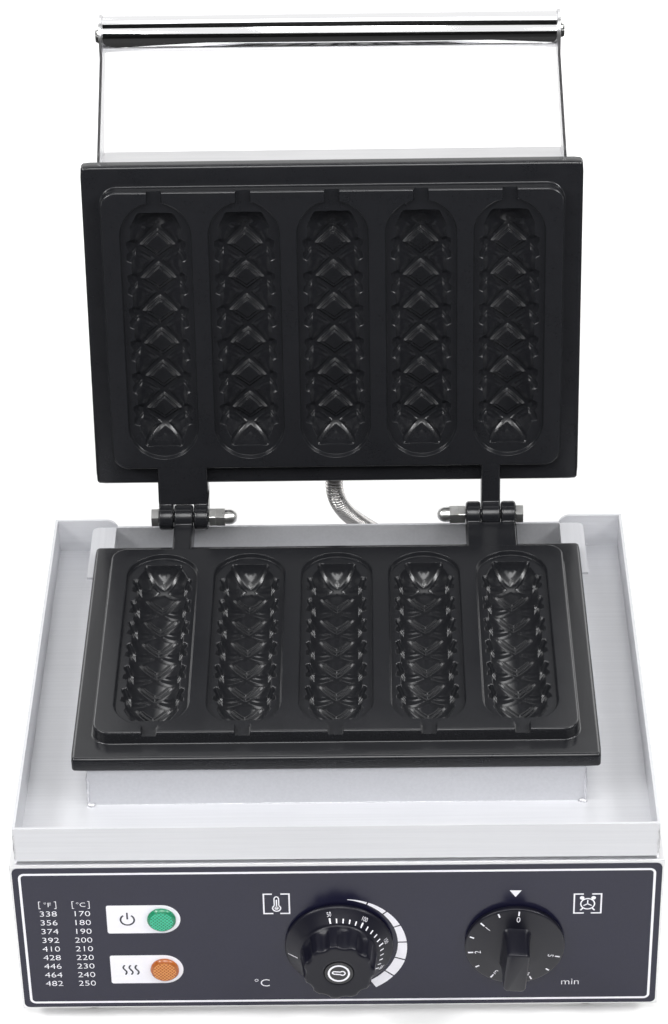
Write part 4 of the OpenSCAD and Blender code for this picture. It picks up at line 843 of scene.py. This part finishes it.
# The lamps: two indicator lamps with cross-hatched lenses of coloured plastic, green for
# power and orange for heat, each held by a nut behind the panel.
green = surface("green_lens", ((0.0, 0.17, 0.075), (0.0, 0.23, 0.105)), (0.2, 0.3), (900, 900, 900),
                Coat_Weight=0.3, Coat_Roughness=0.1)
orange = surface("orange_lens", ((0.33, 0.075, 0.005), (0.42, 0.11, 0.008)), (0.2, 0.3), (900, 900, 900),
                 Coat_Weight=0.3, Coat_Roughness=0.1)
# The hatch ridges are the lens's own plastic, painted a lighter green and orange as a painted highlight where
# they catch the light.
green_ridge_highlight = surface("green_ridge_highlight", ((0.02, 0.5, 0.29), (0.05, 0.57, 0.35)), (0.15, 0.25), (900, 900, 900))
orange_ridge_highlight = surface("orange_ridge_highlight", ((0.66, 0.25, 0.05), (0.72, 0.31, 0.08)), (0.15, 0.25),
                       (900, 900, 900))
lens_r, hatch_r, hatch_pitch, hatch_width, diagonal = 6.4, 6.1, 1.45, 0.42, 0.7071
turns, circles = 96, 26
for node, tint, ridge_highlight_tint, slot in (("power_lamp", green, green_ridge_highlight, "green_lens"),
                                     ("heat_lamp", orange, orange_ridge_highlight, "orange_lens")):
    dress(tint, 0.0003, node)
    low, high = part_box(node)
    middle = Vector(((low.x + high.x) / 2, low.y, (low.z + high.z) / 2))
    lens_points = [middle + Vector((0, -0.0005, 0))]
    for i in range(1, circles + 1):
        r = lens_r * i / circles
        for k in range(turns):
            a = 2 * math.pi * k / turns
            x, z = r * math.cos(a), r * math.sin(a)
            lift = 0.1 + 0.3 * (1 - (r / lens_r) ** 2)
            if i == circles:
                lift = -0.1
            lens_points.append(middle + Vector((x / 1000, -lift / 1000, z / 1000)))
    lens_faces = [(0, 1 + (k + 1) % turns, 1 + k) for k in range(turns)]
    for i in range(circles - 1):
        inner, outer = 1 + i * turns, 1 + (i + 1) * turns
        lens_faces += [(inner + k, inner + (k + 1) % turns, outer + (k + 1) % turns, outer + k)
                       for k in range(turns)]
    lens_faces.append([1 + (circles - 1) * turns + k for k in range(turns)])
    lens = make_mesh(f"{node}_lens", lens_points, lens_faces, tint)
    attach(lens, "base")
    hatch = Ink()
    for k in range(-4, 5):
        reach = math.sqrt(max(0.0, hatch_r ** 2 - (k * hatch_pitch) ** 2))
        for s in (-1, 1):
            ridge = [(t * diagonal - s * k * hatch_pitch * diagonal,
                      s * t * diagonal + k * hatch_pitch * diagonal) for t in np.linspace(-reach, reach, 9)]
            hatch.stroke(ridge, hatch_width)

    def on_lens(x, z, c=middle):
        lift = 0.15 + 0.3 * (1 - (x * x + z * z) / 41)
        return c.x + x / 1000, c.y - lift / 1000, c.z + z / 1000

    hatch.piece(f"{node}_hatch", ridge_highlight_tint, on_lens, "base", slot)

# The thermostat knob: moulded black plastic with a wide printed skirt and a grip of eleven
# scallops. A small cap closes the front, and the knob pushes on to the thermostat's shaft.
knob_skin = surface("knob_plastic", ((0.004, 0.004, 0.009), (0.006, 0.006, 0.013)), (0.3, 0.4),
                    (1600, 1600, 1600), bump=0.00001, Specular_IOR_Level=0.3)
flutes, flute_r, flute_depth = 11, 5.5, 1.3


def turned(name, middle, profile, finish, body, shape=None, turns=264):
    points, faces = [], []
    for r, h, wave in profile:
        for k in range(turns):
            a = 2 * math.pi * k / turns
            cut = shape(a, r) * wave if shape and wave else 0
            points.append(middle + Vector(((r - cut) * math.cos(a) / 1000, -h / 1000,
                                           (r - cut) * math.sin(a) / 1000)))
    for i in range(len(profile) - 1):
        low, high = i * turns, (i + 1) * turns
        faces += [(low + k, low + (k + 1) % turns, high + (k + 1) % turns, high + k) for k in range(turns)]
    faces.append(tuple(reversed(range(turns))))
    faces.append(tuple((len(profile) - 1) * turns + k for k in range(turns)))
    piece = make_mesh(name, points, faces, finish)
    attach(piece, body)
    return piece


def scallop(a, r):
    pitch = 2 * math.pi / flutes
    off = (a / pitch) % 1 - 0.5
    swing = abs(off) * pitch * r
    return max(0, flute_depth - flute_r + math.sqrt(max(0, flute_r ** 2 - swing ** 2)))


knob_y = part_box("thermostat_knob")[1].y
thermostat_axis = Vector((thermostat_x / 1000, knob_y, knob_z / 1000))
thermostat_grip = turned(
    "thermostat_grip", thermostat_axis,
    [(27.4, 0, 0), (28.2, 0.15, 0), (28.5, 0.6, 0), (28.5, 1.5, 0), (28.2, 2.1, 0), (27.5, 2.6, 0),
     (25.0, 4.5, 0), (22.2, 7.0, 0), (21.5, 7.6, 0), (21.0, 7.9, 0), (20.4, 8.3, 0), (20.2, 9.2, 0),
     (20.1, 10.0, 0.55), (20.0, 10.8, 0.9), (19.8, 12.0, 1), (19.4, 15.0, 1), (19.0, 18.5, 1),
     (18.75, 20.6, 1), (18.55, 21.4, 1), (18.1, 21.95, 1), (17.4, 22.2, 0.9), (16.0, 22.2, 0.35),
     (13.0, 22.1, 0), (9.6, 22.0, 0), (8.2, 21.95, 0), (7.8, 21.7, 0), (7.7, 21.0, 0)],
    knob_skin, "thermostat_control", scallop)
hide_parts("thermostat_knob")
dress(moulded, 0.0003, "thermostat_cap")

skirt_print = Ink()
skirt_out, skirt_in, skirt_low, skirt_rise = 27.5, 21.5, 2.6, 5.0


def on_skirt(turn, r):
    a = math.radians(turn)
    h = skirt_low + (skirt_out - r) / (skirt_out - skirt_in) * skirt_rise
    return (thermostat_axis.x + r * math.cos(a) / 1000, thermostat_axis.y - (h + 0.1) / 1000,
            thermostat_axis.z + r * math.sin(a) / 1000)


def polar_letters(ink, text, turn, r, height, wide=1.0):
    ink.letters(text, 0, 0, height, wide, lambda a, b: (turn - math.degrees(a / r), r + b))


for mark in range(50, 301, 10):
    turn = 101 - 0.87 * (mark - 50)
    numbered = mark % 50 == 0
    width = math.degrees((0.42 if numbered else 0.34) / 22.6)
    inner, outer = 21.8, 24.0 if numbered else 23.6
    skirt_print.patch([(turn - width, inner), (turn + width, inner),
                       (turn + width, outer), (turn - width, outer)])
    if numbered:
        polar_letters(skirt_print, str(mark), turn, 25.5, 1.9, 0.9)
skirt_print.patch([(186.6, 22.0), (187.8, 22.0), (187.6, 27.2), (186.8, 27.2)])
skirt_print.piece("skirt_print", white_ink, on_skirt, "thermostat_control")

cap_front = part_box("thermostat_cap")[0].y
cap_print = Ink()
cap_print.ring(0, 0, 5.3, 1.05, 0, 360, 48)
cap_print.ring(1.9, 0.1, 1.35, 0.7, -140, 140, 20)
cap_print.stroke([(0.9, 1.0), (-2.6, 1.35), (-3.3, 0.75), (-3.3, 0.1), (-2.6, -0.4), (0.9, -0.8)], 0.7)


def on_cap(x, z):
    return (thermostat_axis.x + x / 1000, cap_front - 0.00004, thermostat_axis.z + z / 1000)


cap_print.piece("cap_print", white_ink, on_cap, "thermostat_control")

# The timer knob: moulded black plastic, a printed dial with a raised bar across it to turn
# it by, pushed on to the timer's shaft. At rest it stands a little past nought.
timer_skin = surface("timer_plastic", ((0.005, 0.005, 0.01), (0.008, 0.008, 0.014)), (0.3, 0.4),
                     (1600, 1600, 1600), bump=0.00001, Specular_IOR_Level=0.42)
timer_axis = Vector((0.0932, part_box("timer_knob")[1].y, 0.055))
rest_turn = 4.5
dial = turned(
    "timer_dial", timer_axis,
    [(25.6, 0, 0), (26.1, 0.2, 0), (26.25, 0.6, 0), (26.25, 2.4, 0), (26.1, 2.85, 0), (25.6, 3.05, 0),
     (24.6, 3.2, 0), (20.0, 3.75, 0), (15.0, 4.55, 0), (12.0, 5.0, 0)],
    timer_skin, "timer_control", turns=160)
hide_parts("timer_knob")
bar_points, bar_faces = [], []
bar_wide, bar_long = 12.7, 26.5
levels = [(3.3, 2.4), (4.4, 1.7), (5.2, 1.0), (6.4, 0.45), (8.5, 0.15), (12, 0), (21.6, -0.35),
          (22.8, -0.55), (23.35, -0.95), (23.6, -1.6)]
for h, grow in levels:
    wide = bar_wide / 2 + grow
    tall = bar_long / 2 + grow * 0.6
    for x, z in round_outline(-wide, -tall, wide, tall, (3 + max(grow, -1.2),) * 4, 6):
        a = math.radians(-rest_turn)
        bar_points.append(timer_axis + Vector(((x * math.cos(a) - z * math.sin(a)) / 1000, -h / 1000,
                                               (x * math.sin(a) + z * math.cos(a)) / 1000)))
count = len(bar_points) // len(levels)
for i in range(len(levels) - 1):
    low, high = i * count, (i + 1) * count
    bar_faces += [(low + k, low + (k + 1) % count, high + (k + 1) % count, high + k) for k in range(count)]
bar_faces.append(tuple(reversed(range(count))))
bar_faces.append(tuple((len(levels) - 1) * count + k for k in range(count)))
bar = make_mesh("timer_bar", bar_points, bar_faces, timer_skin)
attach(bar, "timer_control")

dial_print = Ink()


def on_dial(turn, r):
    a = math.radians(turn)
    h = np.interp(r, [12.0, 15.0, 20.0, 24.6, 25.6], [5.0, 4.55, 3.75, 3.2, 3.05])
    return (timer_axis.x + r * math.cos(a) / 1000, timer_axis.y - (h + 0.07) / 1000,
            timer_axis.z + r * math.sin(a) / 1000)


for half_minute in range(11):
    turn = 90 - rest_turn + 25.75 * half_minute
    width = math.degrees(0.42 / 24)
    inner = 22.2 if half_minute % 2 == 0 else 22.6
    dial_print.patch([(turn - width, inner), (turn + width, inner),
                      (turn + width, 24.9), (turn - width, 24.9)])
    if half_minute % 2 == 0:
        polar_letters(dial_print, str(half_minute // 2), turn, 19.6, 3.3, 0.95)
dial_print.piece("dial_print", white_ink, on_dial, "timer_control")
